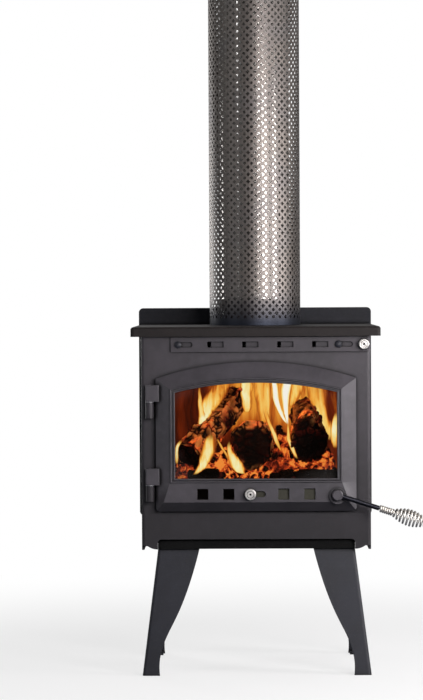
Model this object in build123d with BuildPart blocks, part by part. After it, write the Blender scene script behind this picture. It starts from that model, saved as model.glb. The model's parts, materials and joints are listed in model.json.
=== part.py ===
from build123d import *

import os
from math import atan, cos, pi, radians, sin, sqrt

# Freestanding wood heater on four splayed legs.
# Origin: middle of the four floor fixing holes, on the floor. The door faces -Y, +X is to its right.
# All lengths are in millimetres, all angles in degrees.

# Clearances
fit_gap = 0.3  # between pieces that pass or slide along each other
running_gap = 0.05  # radial, shafts and pins in their bores
assembly_gap = 0.5  # radial, fasteners in their holes

# Legs and floor fixings
leg_side_setback = 0.5  # feet inside the body's sides
leg_front_reach = 16.5  # front feet ahead of the body
leg_rear_setback = 73.5  # rear feet ahead of the body's back
fixing_hole_radius = 4.5
fixing_inset = 19.5  # hole centre to the outer faces of the leg
leg_wall = 5.0
leg_fold_radius = 6.0
leg_splay = 35.75  # over the whole leg, in each direction
leg_profile = [(1.0, 89.5), (0.79, 82.0), (0.42, 55.6), (0.24, 37.1), (0.0, 36.5)]  # height share, width
foot_pad_wall = 5.0
foot_pad_size = 31.0
leg_tab_size = 72.0
leg_tab_nose = 24.0
leg_bolt_far = 50.4  # from the tab's corner, along one side
leg_bolt_near = 18.0  # and across it

# Body
shell_wall = 5.0
bend_radius = 7.0
body_width = 482.0
body_depth = 410.0
body_foot = 262.7
body_height = 464.3
notch_side_width = 33.5
notch_rise = 22.3
notch_corner_radius = 8.0
ear_rise = 1.3
ear_tip_rise = 8.3
ear_tip_inset = 12.0
base_rise = 23.3
base_wall = 5.0
skirt_setback = 10.0
skirt_wall = 5.0
floor_rise = 77.3
floor_wall = 6.0

# Top plate
top_side_overhang = 21.5
top_front_overhang = 10.0
top_rear_overhang = 20.0
top_wall = 5.0
top_lip_height = 20.5
top_fold_radius = 6.0
top_corner_radius = 8.0

# Rear heat shield
shield_wall = 2.0
shield_side_setback = 0.5  # inside the sides of the top plate
shield_foot_rise = 37.3  # above the foot of the body
shield_head_rise = 37.0  # above the top plate
shield_corner_radius = 10.0
shield_bolt_inset = 51.0  # from the sides of the body
shield_bolt_rise = 82.3  # lower bolts, above the foot of the body
shield_bolt_drop = 52.0  # upper bolts, below the top of the body
shield_bolt_radius = 4.0
shield_bolt_head_radius = 7.5
shield_bolt_head_height = 5.0
spacer_radius = 8.0

# Flue
flue_setback = 118.0  # its axis ahead of the body's back
pipe_radius = 76.2
pipe_wall = 0.9
pipe_length = 900.0
collar_wall = 5.0
collar_height = 57.0
collar_ledge_height = 18.0
collar_ledge_width = 4.0
collar_flange_width = 12.0
collar_flange_wall = 4.0
guard_radius = 100.0
guard_wall = 1.0
guard_length = 900.0
guard_spacer_wall = 1.5
guard_spacer_width = 10.0
guard_spacer_leg = 12.0
guard_spacer_fold_radius = 2.5
guard_spacer_low = 20.0
guard_spacer_high = 850.0
guard_spacer_count = 3

# Door casting: its outline, then the raised bead round the window
door_gap = 3.0  # between its back and the front panel
door_edge_wall = 8.0
door_thickness = 26.0
door_side_inset = 31.0  # inside the sides of the body
door_rise = 82.0
door_head_drop = 69.0  # crown of its arch below the top of the body
door_arch_rise = 34.3
door_foot_radius = 10.0
door_head_radius = 5.0
door_corner_relief = 0.4  # the rounding meets the sides at a slight angle
bead_side_inset = 30.0  # inside the door's edge
bead_rise = 61.3
bead_shoulder_drop = 21.2  # below the shoulder of the door's outline
bead_arch_rise = 23.0
bead_height = 2.0
bead_band = 10.5
bead_foot_band = 8.5
bead_width = 3.6
bead_rounding = 1.2
field_side_inset = 16.0
field_rise = 20.3
window_lip = 8.0

# Door glass, seals and clips
glass_wall = 4.0
glass_overlap = 8.0
gasket_wall = 1.5
clip_wall = 2.0
clip_width = 22.0
clip_length = 14.0
clip_grip = 5.0
clip_side_rise = 105.0
clip_side_drop = 64.0  # upper side clips, below the shoulder of the door's outline
clip_row_reach = 95.0
clip_screw_offset = 2.0
clip_screw_radius = 2.0
clip_screw_head_radius = 3.6
clip_screw_head_height = 2.2
clip_screw_length = 7.0
rope_width = 9.0
rope_inset = 15.0
rope_foot_inset = 8.1
rope_depth = 6.0
opening_inset = 28.0
opening_foot_inset = 18.5
shelf_width = 10.0

# Door air slide
air_hole_size = 23.2
air_hole_rise = 37.0
air_hole_near = 57.5
air_hole_inset = 98.0  # outer holes, inside the door's edge
air_slot_width = 39.6
air_slot_height = 12.8
air_chamber_rise = 16.3
air_chamber_height = 38.0
air_field_wall = 6.0
air_travel = 25.0
air_slider_wall = 2.0
air_slider_margin = 1.9
air_slider_left_play = 15.0
air_slider_right_play = 2.0  # left of its travel
air_knob_x = -12.2
air_knob_radius = 11.9
air_guide_wall = 2.0
air_guide_lip = 3.0
air_guide_left_gap = 17.5
air_guide_handle_gap = 12.5  # from the handle's axis

# Turned knobs
knob_neck_radius = 4.0
knob_neck_length = 4.0
knob_head_length = 9.0
knob_edge_radius = 2.0
knob_hole_radius = 2.4
knob_hole_depth = 5.0
knob_shank_radius = 3.0

# Top air slide
strip_left_inset = 62.7
strip_right_inset = 5.0
strip_height = 31.2
strip_drop = 32.6  # its middle below the top of the body
strip_wall = 3.0
strip_window_middle = 25.7
strip_window_pitch = 73.3
strip_window_count = 4
strip_window_width = 34.0
strip_window_height = 12.5
strip_window_shift = 26.0
strip_travel = 25.0
strip_bolt_left_inset = 15.3  # from the left end of the strip
strip_bolt_right_inset = 62.4  # from its right end
strip_bolt_shoulder = 5.3
strip_bolt_head = 7.35
strip_bolt_head_height = 4.0
strip_bolt_rim = 1.0
strip_bolt_shank = 4.0
strip_bolt_shank_length = 9.0
strip_bolt_play = 0.4
top_knob_inset = 9.0
top_knob_radius = 11.0

# Hinges
hinge_side_gap = 12.4  # its axis outside the door's edge
hinge_setback = 12.0  # its axis ahead of the door's back
hinge_pin_radius = 4.0
hinge_pin_chamfer = 0.8
hinge_post_radius = 8.75
hinge_post_height = 33.5
hinge_rise = 21.3  # foot of the lower post above the foot of the door
hinge_drop = 82.7  # foot of the upper post below the shoulder of the door's outline
hinge_web_half_width = 4.0
hinge_washer_wall = 1.2
knuckle_height = 34.5
knuckle_left_reach = 9.0
knuckle_right_reach = 20.0
knuckle_front_reach = 8.5
knuckle_back_reach = 8.0
knuckle_rounding = 2.5
pin_seat_depth = 28.0

# Handle and latch
handle_inset = 40.5  # inside the door's edge
handle_rise = 35.3
handle_droop = 17.8
boss_radius = 17.15
boss_drop = 2.4
boss_height = 4.0
spindle_radius = 6.0
spindle_reach = 27.0  # inside the door's back face
hub_radius = 11.75
hub_length = 12.7
hub_chamfer = 2.0
rod_radius = 5.1
rod_seat_depth = 5.0
rod_length = 91.0
tang_length = 29.0
tang_chamfer = 0.6
finger_wall = 5.0
finger_length = 17.0
finger_hub_radius = 11.0
finger_tip_radius = 5.0
finger_nut_across = 18.0
finger_nut_height = 5.0
catch_wall = 5.0
catch_height = 9.0
catch_left = 11.5  # from the handle's axis
catch_right = 30.5
catch_corner_radius = 2.2
catch_gap = 1.5

# Coil spring grip
wire_radius = 2.0
close_turns = 6
close_pitch = 4.55
close_radius = 4.8
open_turns = 10
open_pitch = 7.55
bulb_radius = 16.25
bulb_fullness = 0.8
steps_per_turn = 4

# Firebox lining and fittings
brick_wall = 25.0
brick_joint = 1.0
lining_setback = 37.0
side_brick_gap = 32.0  # below the baffle rails
side_brick_count = 3
floor_brick_columns = 4
floor_brick_rows = 3
rear_brick_count = 4
retainer_wall = 4.0
retainer_height = 62.0
retainer_side_gap = 31.0
retainer_corner_radius = 12.0
baffle_wall = 6.0
baffle_drop = 109.0  # its top below the top of the body
baffle_setback = 95.0
baffle_nose = 14.0
baffle_fold_radius = 8.0
rail_size = 20.0
rail_wall = 4.0
rail_fold_radius = 5.0
duct_wall = 2.0
duct_setback = 37.0
duct_straight = 55.0
duct_throw = 31.0
duct_drop = 22.0
duct_fold_radius = 6.0

# Fire
ember_side_gap = 15.0
ember_front_gap = 5.0
ember_depth = 169.0
ember_height = 74.0
ember_taper = 25.0
ember_corner_radius = 60.0
log_radius = 50.0
log_far_share = 0.88

# Leg bolts
leg_bolt_radius = 4.0
leg_bolt_across = 13.0
leg_bolt_head_height = 5.3
leg_bolt_nut_height = 6.5

# Planes, heights and outlines that several pieces share
body_half = body_width / 2
body_inner = body_half - shell_wall
fold_x = body_half - leg_side_setback
fold_y = (body_depth + leg_front_reach - leg_rear_setback) / 2
fixing_x = fold_x - fixing_inset
fixing_y = fold_y - fixing_inset
body_front = leg_front_reach - fold_y
body_rear = body_front + body_depth
body_top = body_foot + body_height
panel_inner = body_front + shell_wall
rear_inner = body_rear - shell_wall
base_foot = body_foot + base_rise
base_top = base_foot + base_wall
firebox_floor_foot = body_foot + floor_rise
firebox_floor_top = firebox_floor_foot + floor_wall
brick_top = firebox_floor_top + brick_wall
notch_half_width = body_half - notch_side_width
top_surface = body_top + top_wall
top_width = body_width + 2 * top_side_overhang
top_front = body_front - top_front_overhang
top_rear = body_rear + top_rear_overhang
shield_front = top_rear + fit_gap
shield_foot = body_foot + shield_foot_rise
shield_head = top_surface + shield_head_rise
flue_y = body_rear - flue_setback

door_half_width = body_half - door_side_inset
door_foot = body_foot + door_rise
door_crown = body_top - door_head_drop
door_shoulder = door_crown - door_arch_rise
door_back = body_front - door_gap
door_edge_front = door_back - door_edge_wall
door_front = door_back - door_thickness
bead_half_width = door_half_width - bead_side_inset
bead_foot = door_foot + bead_rise
bead_shoulder = door_shoulder - bead_shoulder_drop
field_half_width = door_half_width - field_side_inset
air_hole_z = door_foot + air_hole_rise
air_hole_reaches = (air_hole_near, door_half_width - air_hole_inset)
chamber_foot = door_foot + air_chamber_rise
chamber_top = chamber_foot + air_chamber_height
field_back = door_front + air_field_wall
gasket_front = door_front + window_lip
glass_front = gasket_front + gasket_wall
glass_back = glass_front + glass_wall
handle_x = door_half_width - handle_inset
handle_z = door_foot + handle_rise
boss_front = door_front - boss_height
hinge_x = -door_half_width - hinge_side_gap
hinge_y = door_back - hinge_setback
strip_left = strip_left_inset - body_half
strip_right = body_half - strip_right_inset
strip_windows = [
    strip_window_middle + (step - (strip_window_count - 1) / 2) * strip_window_pitch
    for step in range(strip_window_count)
]
strip_bolts = (strip_left + strip_bolt_left_inset, strip_right - strip_bolt_right_inset)
top_knob_x = strip_right - top_knob_inset
strip_z = body_top - strip_drop
strip_back = body_front - fit_gap
strip_front = strip_back - strip_wall
slider_front = field_back + fit_gap
slider_back = slider_front + air_slider_wall
slider_half_height = air_hole_size / 2 + air_slider_margin

leg_lean = leg_splay / base_foot

lining_front = panel_inner + lining_setback
brick_half = body_inner - brick_wall  # to the inner faces of the side bricks
baffle_front = panel_inner + baffle_setback
baffle_top = body_top - baffle_drop
baffle_foot = baffle_top - baffle_wall
side_brick_height = baffle_foot - rail_size - side_brick_gap - brick_top

flue_axis = Axis((0, flue_y, 0), (0, 0, 1))
collar_bore_radius = pipe_radius + assembly_gap
collar_radius = collar_bore_radius + collar_wall
pipe_foot = body_top + collar_ledge_height


def facing(y):
    """Sketch plane that looks towards the front, at depth y; its second axis is the height."""
    return Plane.XZ.offset(-y)


def inset(shape, side, foot=None):
    """Arched outline (half width, foot, shoulder, crown) moved inwards, its arch kept parallel."""
    half_width, foot_z, shoulder, crown = shape
    rise = crown - shoulder
    radius = (half_width**2 + rise**2) / (2 * rise)
    new_half = half_width - side
    new_shoulder = crown - radius + sqrt((radius - side) ** 2 - new_half**2)
    return (new_half, foot_z + (side if foot is None else foot), new_shoulder, crown - side)


def arch_height(shape, x):
    """Height of an arched outline's arch at x."""
    half_width, _, shoulder, crown = shape
    rise = crown - shoulder
    radius = (half_width**2 + rise**2) / (2 * rise)
    return crown - radius + sqrt(radius**2 - x**2)


def arch_tilt(shape, x):
    """Turn of the arch's normal at x, away from upright."""
    half_width, _, shoulder, crown = shape
    rise = crown - shoulder
    radius = (half_width**2 + rise**2) / (2 * rise)
    return -atan(x / sqrt(radius**2 - x**2)) * 180 / pi


def arched(shape, mode=Mode.ADD):
    """Arched face in the open sketch."""
    half_width, foot, shoulder, crown = shape
    with BuildLine() as outline:
        Polyline((-half_width, shoulder), (-half_width, foot), (half_width, foot), (half_width, shoulder))
        ThreePointArc((half_width, shoulder), (0, crown), (-half_width, shoulder))
    make_face(outline.edges(), mode=mode)


def arched_ring(outer, inner):
    """Arched band in the open sketch."""
    arched(outer)
    arched(inner, mode=Mode.SUBTRACT)


door_shape = (door_half_width, door_foot, door_shoulder, door_crown)
bead_shape = (bead_half_width, bead_foot, bead_shoulder, bead_shoulder + bead_arch_rise)
window_shape = inset(bead_shape, bead_band, bead_foot_band)
glass_shape = inset(window_shape, -glass_overlap)
shelf_shape = inset(glass_shape, -shelf_width, chamber_foot - glass_shape[1])
chamber_half_width = shelf_shape[0]
rope_shape = inset(door_shape, rope_inset, rope_foot_inset)
opening_shape = inset(door_shape, opening_inset, opening_foot_inset)
air_guide_left = air_guide_left_gap - chamber_half_width
air_guide_right = handle_x - air_guide_handle_gap
air_slider_left = air_guide_left + air_slider_left_play
air_slider_right = air_guide_right - air_travel - air_slider_right_play

# Places of the glass clips: side pairs, a pair under the arch and a pair at the foot, each with its turn
clip_line = inset(glass_shape, clip_grip - clip_length / 2)
clip_places = []
for side in (-1, 1):
    clip_x = side * clip_row_reach
    for clip_z in (door_foot + clip_side_rise, door_shoulder - clip_side_drop):
        clip_places.append((side * clip_line[0], clip_z, side * -90))
    clip_places.append((clip_x, arch_height(clip_line, clip_x), arch_tilt(clip_line, clip_x)))
    clip_places.append((clip_x, clip_line[1], 180))

# Centres of the eight leg bolts, two on each leg's tab
tab_corner_x = fold_x - leg_splay - leg_wall
tab_corner_y = fold_y - leg_splay - leg_wall
leg_bolt_places = [
    (side_x * (tab_corner_x - step_x), side_y * (tab_corner_y - step_y))
    for side_x in (-1, 1)
    for side_y in (-1, 1)
    for step_x, step_y in ((leg_bolt_near, leg_bolt_far), (leg_bolt_far, leg_bolt_near))
]

shield_bolt_places = [
    (side * (body_half - shield_bolt_inset), z)
    for side in (-1, 1)
    for z in (body_foot + shield_bolt_rise, body_top - shield_bolt_drop)
]

pieces = {}


# Body shell: front and sides folded from one sheet
with BuildPart() as body_wrap:
    with BuildSketch(Plane.XY.offset(body_foot)):
        with BuildLine():
            FilletPolyline(
                (-body_half, body_rear),
                (-body_half, body_front),
                (body_half, body_front),
                (body_half, body_rear),
                radius=bend_radius,
            )
            offset(amount=shell_wall, side=Side.LEFT)
        make_face()
    extrude(amount=body_height)
    with BuildSketch(facing(body_front)):
        arched(opening_shape)
        with Locations(*[(x - strip_window_shift, strip_z) for x in strip_windows]):
            Rectangle(strip_window_width, strip_window_height)
        with Locations(*[(x, strip_z) for x in strip_bolts]):
            Circle(strip_bolt_shank)
    extrude(amount=-shell_wall, mode=Mode.SUBTRACT)
    with BuildSketch(facing(body_front)):
        with BuildLine():
            notch = FilletPolyline(
                (0, body_foot + notch_rise),
                (notch_half_width, body_foot + notch_rise),
                (notch_half_width, body_foot + ear_rise),
                radius=notch_corner_radius,
            )
            ear = TangentArc(notch @ 1, (body_half - ear_tip_inset, body_foot + ear_tip_rise), tangent=(1, 0))
            ear_side = (body_half, body_foot + ear_tip_rise)
            Polyline(ear @ 1, ear_side, (body_half, body_foot), (0, body_foot), notch @ 0)
        make_face()
        mirror(about=Plane.YZ)
    extrude(amount=-bend_radius, mode=Mode.SUBTRACT)
pieces["body_wrap"] = body_wrap

# Rear wall, between the sides
with BuildPart() as rear_plate:
    with BuildSketch(facing(body_rear)):
        with Locations((0, body_foot + body_height / 2)):
            Rectangle(2 * body_inner, body_height)
        with Locations(*shield_bolt_places):
            Circle(shield_bolt_radius, mode=Mode.SUBTRACT)
    extrude(amount=shell_wall)
pieces["rear_plate"] = rear_plate

# Base plate, which the legs bolt to
with BuildPart() as base_plate:
    with BuildSketch(Plane.XY.offset(base_foot)) as base_outline:
        with Locations((0, (panel_inner + rear_inner) / 2)):
            Rectangle(2 * body_inner, rear_inner - panel_inner)
        fillet(base_outline.vertices().group_by(Axis.Y)[0], bend_radius - shell_wall + fit_gap)
        with Locations(*leg_bolt_places):
            Circle(leg_bolt_radius + assembly_gap, mode=Mode.SUBTRACT)
    extrude(amount=base_wall)
pieces["base_plate"] = base_plate

# Skirt that hangs from the base plate behind the notch
with BuildPart() as base_skirt:
    with BuildSketch(facing(body_front + skirt_setback)):
        with Locations((0, base_foot)):
            Rectangle(2 * notch_half_width, base_rise - ear_rise, align=(Align.CENTER, Align.MAX))
    extrude(amount=-skirt_wall)
pieces["base_skirt"] = base_skirt

# Firebox floor
with BuildPart() as firebox_floor:
    with BuildSketch(Plane.XY.offset(firebox_floor_foot)) as floor_outline:
        with Locations((0, (panel_inner + rear_inner) / 2)):
            Rectangle(2 * body_inner, rear_inner - panel_inner)
        fillet(floor_outline.vertices().group_by(Axis.Y)[0], bend_radius - shell_wall + fit_gap)
    extrude(amount=floor_wall)
pieces["firebox_floor"] = firebox_floor

# Pressed top plate with a lip all round and a hole for the flue collar
with BuildPart() as top_plate:
    with BuildSketch(Plane.XY.offset(top_surface)):
        with Locations((0, (top_front + top_rear) / 2)):
            RectangleRounded(top_width, top_rear - top_front, top_corner_radius)
    extrude(amount=-top_lip_height)
    fillet(top_plate.faces().sort_by(Axis.Z)[-1].edges(), top_fold_radius)
    offset(amount=-top_wall, openings=top_plate.faces().sort_by(Axis.Z)[0])
    with Locations((0, flue_y, body_top)):
        Cylinder(collar_radius + fit_gap, 2 * top_wall, mode=Mode.SUBTRACT)
pieces["top_plate"] = top_plate

# Rear heat shield
with BuildPart() as rear_heat_shield:
    with BuildSketch(facing(shield_front)) as shield_outline:
        with Locations((0, (shield_foot + shield_head) / 2)):
            Rectangle(top_width - 2 * shield_side_setback, shield_head - shield_foot)
        fillet(shield_outline.vertices(), shield_corner_radius)
        with Locations(*shield_bolt_places):
            Circle(shield_bolt_radius + assembly_gap, mode=Mode.SUBTRACT)
    extrude(amount=-shield_wall)
pieces["rear_heat_shield"] = rear_heat_shield

with BuildPart() as shield_spacers:
    with BuildSketch(facing(body_rear)):
        with Locations(*shield_bolt_places):
            Circle(spacer_radius)
            Circle(shield_bolt_radius + assembly_gap, mode=Mode.SUBTRACT)
    extrude(amount=body_rear - shield_front)
pieces["shield_spacers"] = shield_spacers

with BuildPart() as shield_bolts:
    with BuildSketch(facing(rear_inner)):
        with Locations(*shield_bolt_places):
            Circle(shield_bolt_radius)
    extrude(amount=rear_inner - shield_front - shield_wall)
    with BuildSketch(facing(shield_front + shield_wall)):
        with Locations(*shield_bolt_places):
            RegularPolygon(shield_bolt_head_radius, 6)
    extrude(amount=-shield_bolt_head_height)
pieces["shield_bolts"] = shield_bolts

# Flue collar: a flanged spigot with a ledge that carries the pipe
with BuildPart() as flue_collar:
    with BuildSketch(facing(flue_y)):
        with BuildLine():
            Polyline(
                (collar_bore_radius - collar_ledge_width, body_top),
                (collar_radius, body_top),
                (collar_radius, top_surface),
                (collar_radius + collar_flange_width, top_surface),
                (collar_radius + collar_flange_width, top_surface + collar_flange_wall),
                (collar_radius, top_surface + collar_flange_wall),
                (collar_radius, top_surface + collar_height),
                (collar_bore_radius, top_surface + collar_height),
                (collar_bore_radius, pipe_foot),
                (collar_bore_radius - collar_ledge_width, pipe_foot),
                close=True,
            )
        make_face()
    revolve(axis=flue_axis)
pieces["flue_collar"] = flue_collar

with BuildPart() as flue_pipe:
    with BuildSketch(Plane.XY.offset(pipe_foot)):
        with Locations((0, flue_y)):
            Circle(pipe_radius)
            Circle(pipe_radius - pipe_wall, mode=Mode.SUBTRACT)
    extrude(amount=pipe_length)
pieces["flue_pipe"] = flue_pipe

with BuildPart() as flue_guard:
    with BuildSketch(Plane.XY.offset(top_surface)):
        with Locations((0, flue_y)):
            Circle(guard_radius)
            Circle(guard_radius - guard_wall, mode=Mode.SUBTRACT)
    extrude(amount=guard_length)
pieces["flue_guard"] = flue_guard

# Folded clips that keep the guard round the flue, against the collar below and the pipe above
with BuildPart() as spacer_pair:
    for inner_radius, rise in ((collar_radius, guard_spacer_low), (pipe_radius, guard_spacer_high)):
        spacer_foot = top_surface + rise
        with BuildSketch(Plane.XZ):
            with BuildLine():
                FilletPolyline(
                    (inner_radius + fit_gap, spacer_foot + guard_spacer_leg),
                    (inner_radius + fit_gap, spacer_foot),
                    (guard_radius - guard_wall - fit_gap, spacer_foot),
                    (guard_radius - guard_wall - fit_gap, spacer_foot + guard_spacer_leg),
                    radius=guard_spacer_fold_radius,
                )
                offset(amount=guard_spacer_wall, side=Side.LEFT)
            make_face()
        extrude(amount=guard_spacer_width / 2, both=True)
with BuildPart() as guard_spacers:
    with Locations((0, flue_y)):
        with PolarLocations(0, guard_spacer_count, start_angle=90):
            add(spacer_pair.part)
pieces["guard_spacers"] = guard_spacers


# Firebrick lining, each brick by itself
with BuildPart() as floor_bricks:
    floor_depth = rear_inner - lining_front
    with Locations((0, (lining_front + rear_inner) / 2, firebox_floor_top)):
        floor_pitch_x = 2 * body_inner / floor_brick_columns
        floor_pitch_y = floor_depth / floor_brick_rows
        with GridLocations(floor_pitch_x, floor_pitch_y, floor_brick_columns, floor_brick_rows):
            Box(
                floor_pitch_x - brick_joint,
                floor_pitch_y - brick_joint,
                brick_wall,
                align=(Align.CENTER, Align.CENTER, Align.MIN),
            )
pieces["floor_bricks"] = floor_bricks

for name, side in (("side_bricks_left", -1), ("side_bricks_right", 1)):
    with BuildPart() as side_bricks:
        side_depth = rear_inner - lining_front
        with Locations((side * (body_inner - brick_wall / 2), (lining_front + rear_inner) / 2, brick_top)):
            with GridLocations(brick_wall, side_depth / side_brick_count, 1, side_brick_count):
                Box(
                    brick_wall,
                    side_depth / side_brick_count - brick_joint,
                    side_brick_height,
                    align=(Align.CENTER, Align.CENTER, Align.MIN),
                )
    pieces[name] = side_bricks

with BuildPart() as rear_bricks:
    rear_width = 2 * brick_half
    with Locations((0, rear_inner - brick_wall / 2, brick_top)):
        with GridLocations(rear_width / rear_brick_count, brick_wall, rear_brick_count, 1):
            Box(
                rear_width / rear_brick_count - brick_joint,
                brick_wall,
                side_brick_height,
                align=(Align.CENTER, Align.CENTER, Align.MIN),
            )
pieces["rear_bricks"] = rear_bricks

# Plate that keeps the fuel behind the door
with BuildPart() as log_retainer:
    with BuildSketch(facing(lining_front)) as retainer_outline:
        with Locations((0, firebox_floor_top + retainer_height / 2)):
            Rectangle(2 * (body_inner - retainer_side_gap), retainer_height)
        fillet(retainer_outline.vertices().group_by(Axis.Y)[-1], retainer_corner_radius)
    extrude(amount=retainer_wall)
pieces["log_retainer"] = log_retainer

# Baffle plate with its nose folded up, lying on two rails
with BuildPart() as baffle_plate:
    with BuildSketch(Plane.YZ.offset(-(body_inner - fit_gap))):
        with BuildLine():
            FilletPolyline(
                (rear_inner - fit_gap, baffle_foot),
                (baffle_front, baffle_foot),
                (baffle_front, baffle_foot + baffle_nose + baffle_wall),
                radius=baffle_fold_radius,
            )
            offset(amount=baffle_wall, side=Side.RIGHT)
        make_face()
    extrude(amount=2 * (body_inner - fit_gap))
pieces["baffle_plate"] = baffle_plate

with BuildPart() as baffle_rails:
    with BuildSketch(facing(rear_inner)):
        with BuildLine():
            FilletPolyline(
                (body_inner, baffle_foot - rail_size),
                (body_inner, baffle_foot),
                (body_inner - rail_size, baffle_foot),
                radius=rail_fold_radius,
            )
            offset(amount=rail_wall, side=Side.LEFT)
        make_face()
        mirror(about=Plane.YZ)
    extrude(amount=rear_inner - baffle_front)
pieces["baffle_rails"] = baffle_rails

# Duct that leads the top air down onto the glass
with BuildPart() as airwash_duct:
    with BuildSketch(Plane.YZ.offset(-(body_inner - fit_gap))):
        with BuildLine():
            FilletPolyline(
                (panel_inner + duct_setback, body_top - fit_gap),
                (panel_inner + duct_setback, body_top - duct_straight),
                (panel_inner + duct_setback - duct_throw, body_top - duct_straight - duct_drop),
                radius=duct_fold_radius,
            )
            offset(amount=duct_wall, side=Side.LEFT)
        make_face()
    extrude(amount=2 * (body_inner - fit_gap))
pieces["airwash_duct"] = airwash_duct


# Legs: folded plate, splayed both ways, with a foot pad and a tab under the base plate
fold_foot = Vector(fold_x, -fold_y, 0)
fold_direction = Vector(-leg_splay, leg_splay, base_foot).normalized()
front_normal = Vector(0, -1, leg_lean).normalized()
side_normal = Vector(1, 0, leg_lean).normalized()
fold_section = Plane(
    origin=fold_foot - fold_direction * leg_wall,
    x_dir=front_normal.cross(fold_direction),
    z_dir=fold_direction,
)
side_flange = fold_direction.cross(side_normal)
flange_height = base_foot * sqrt(1 + leg_lean**2)
flange_blank = leg_profile[0][1] + leg_wall
side_reach = side_flange * flange_blank
with BuildPart() as leg_front_right:
    with BuildSketch(fold_section):
        with BuildLine():
            FilletPolyline(
                (flange_blank, 0),
                (0, 0),
                (side_reach.dot(fold_section.x_dir), side_reach.dot(fold_section.y_dir)),
                radius=leg_fold_radius,
            )
            offset(amount=leg_wall, side=Side.LEFT)
        make_face()
    extrude(amount=flange_height + 3 * leg_wall)
    with BuildSketch(Plane(origin=fold_foot, x_dir=(1, 0, 0), z_dir=front_normal)):
        with BuildLine():
            inner_edge = Spline(
                *[(-share * leg_splay - width, share * flange_height) for share, width in leg_profile]
            )
            Polyline(
                inner_edge @ 0,
                inner_edge @ 0 + Vector(0, 2 * leg_wall),
                (-2 * flange_blank, flange_height + 2 * leg_wall),
                (-2 * flange_blank, -2 * leg_wall),
                inner_edge @ 1 - Vector(0, 2 * leg_wall),
                inner_edge @ 1,
            )
        make_face()
    flange_waste = extrude(amount=2 * leg_wall, both=True, mode=Mode.SUBTRACT)
    mirror(flange_waste, about=Plane(origin=fold_foot, z_dir=(1, 1, 0)), mode=Mode.SUBTRACT)
    split(bisect_by=Plane.XY.offset(base_foot), keep=Keep.BOTTOM)
    split(bisect_by=Plane.XY, keep=Keep.TOP)
    with BuildSketch(Plane.XY.offset(base_foot)):
        with BuildLine():
            Polyline(
                (tab_corner_x + leg_wall / 2, -tab_corner_y - leg_wall / 2),
                (tab_corner_x - leg_tab_size, -tab_corner_y - leg_wall / 2),
                (tab_corner_x - leg_tab_size, -tab_corner_y + leg_tab_nose),
                (tab_corner_x - leg_tab_nose, -tab_corner_y + leg_tab_size),
                (tab_corner_x + leg_wall / 2, -tab_corner_y + leg_tab_size),
                close=True,
            )
        make_face()
        with Locations(*[(x, y) for x, y in leg_bolt_places if x > 0 > y]):
            Circle(leg_bolt_radius + assembly_gap, mode=Mode.SUBTRACT)
    extrude(amount=-leg_wall)
    with BuildSketch(Plane.XY):
        with Locations((fold_x - leg_wall / 2, -fold_y + leg_wall / 2)):
            Rectangle(foot_pad_size, foot_pad_size, align=(Align.MAX, Align.MIN))
        with Locations((fixing_x, -fixing_y)):
            Circle(fixing_hole_radius, mode=Mode.SUBTRACT)
    extrude(amount=foot_pad_wall)
pieces["leg_front_right"] = leg_front_right

with BuildPart() as leg_front_left:
    mirror(leg_front_right.part, about=Plane.YZ)
pieces["leg_front_left"] = leg_front_left

with BuildPart() as leg_rear_right:
    mirror(leg_front_right.part, about=Plane.XZ)
pieces["leg_rear_right"] = leg_rear_right

with BuildPart() as leg_rear_left:
    mirror(leg_rear_right.part, about=Plane.YZ)
pieces["leg_rear_left"] = leg_rear_left

with BuildPart() as leg_bolts:
    with BuildSketch(Plane.XY.offset(base_foot - leg_wall)):
        with Locations(*leg_bolt_places):
            RegularPolygon(leg_bolt_across / 2, 6, major_radius=False)
    extrude(amount=-leg_bolt_head_height)
    with BuildSketch(Plane.XY.offset(base_foot - leg_wall)):
        with Locations(*leg_bolt_places):
            Circle(leg_bolt_radius)
    extrude(amount=leg_wall + base_wall + leg_bolt_nut_height)
pieces["leg_bolts"] = leg_bolts

with BuildPart() as leg_nuts:
    with BuildSketch(Plane.XY.offset(base_top)):
        with Locations(*leg_bolt_places):
            RegularPolygon(leg_bolt_across / 2, 6, major_radius=False)
            Circle(leg_bolt_radius + running_gap, mode=Mode.SUBTRACT)
    extrude(amount=leg_bolt_nut_height)
pieces["leg_nuts"] = leg_nuts


# Hinge posts on the front panel, with their pins and washers
post_feet = [door_foot + hinge_rise, door_shoulder - hinge_drop]
post_tops = [foot + hinge_post_height for foot in post_feet]
for name, foot in (("hinge_post_lower", post_feet[0]), ("hinge_post_upper", post_feet[1])):
    with BuildPart() as hinge_post:
        with BuildSketch(Plane.XY.offset(foot)):
            with Locations((hinge_x, hinge_y)):
                Circle(hinge_post_radius)
            with Locations((hinge_x, (hinge_y + body_front) / 2)):
                Rectangle(2 * hinge_web_half_width, body_front - hinge_y)
            with Locations((hinge_x, hinge_y)):
                Circle(hinge_pin_radius + running_gap, mode=Mode.SUBTRACT)
        extrude(amount=hinge_post_height)
    pieces[name] = hinge_post

with BuildPart() as hinge_pins:
    for top in post_tops:
        with BuildSketch(Plane.XY.offset(top - pin_seat_depth)):
            with Locations((hinge_x, hinge_y)):
                Circle(hinge_pin_radius)
        extrude(amount=pin_seat_depth + hinge_washer_wall + fit_gap + knuckle_height)
    chamfer(hinge_pins.edges().filter_by(GeomType.CIRCLE), hinge_pin_chamfer)
pieces["hinge_pins"] = hinge_pins

with BuildPart() as hinge_washers:
    for top in post_tops:
        with BuildSketch(Plane.XY.offset(top)):
            with Locations((hinge_x, hinge_y)):
                Circle(hinge_post_radius)
                Circle(hinge_pin_radius + running_gap, mode=Mode.SUBTRACT)
        extrude(amount=hinge_washer_wall)
pieces["hinge_washers"] = hinge_washers

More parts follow.
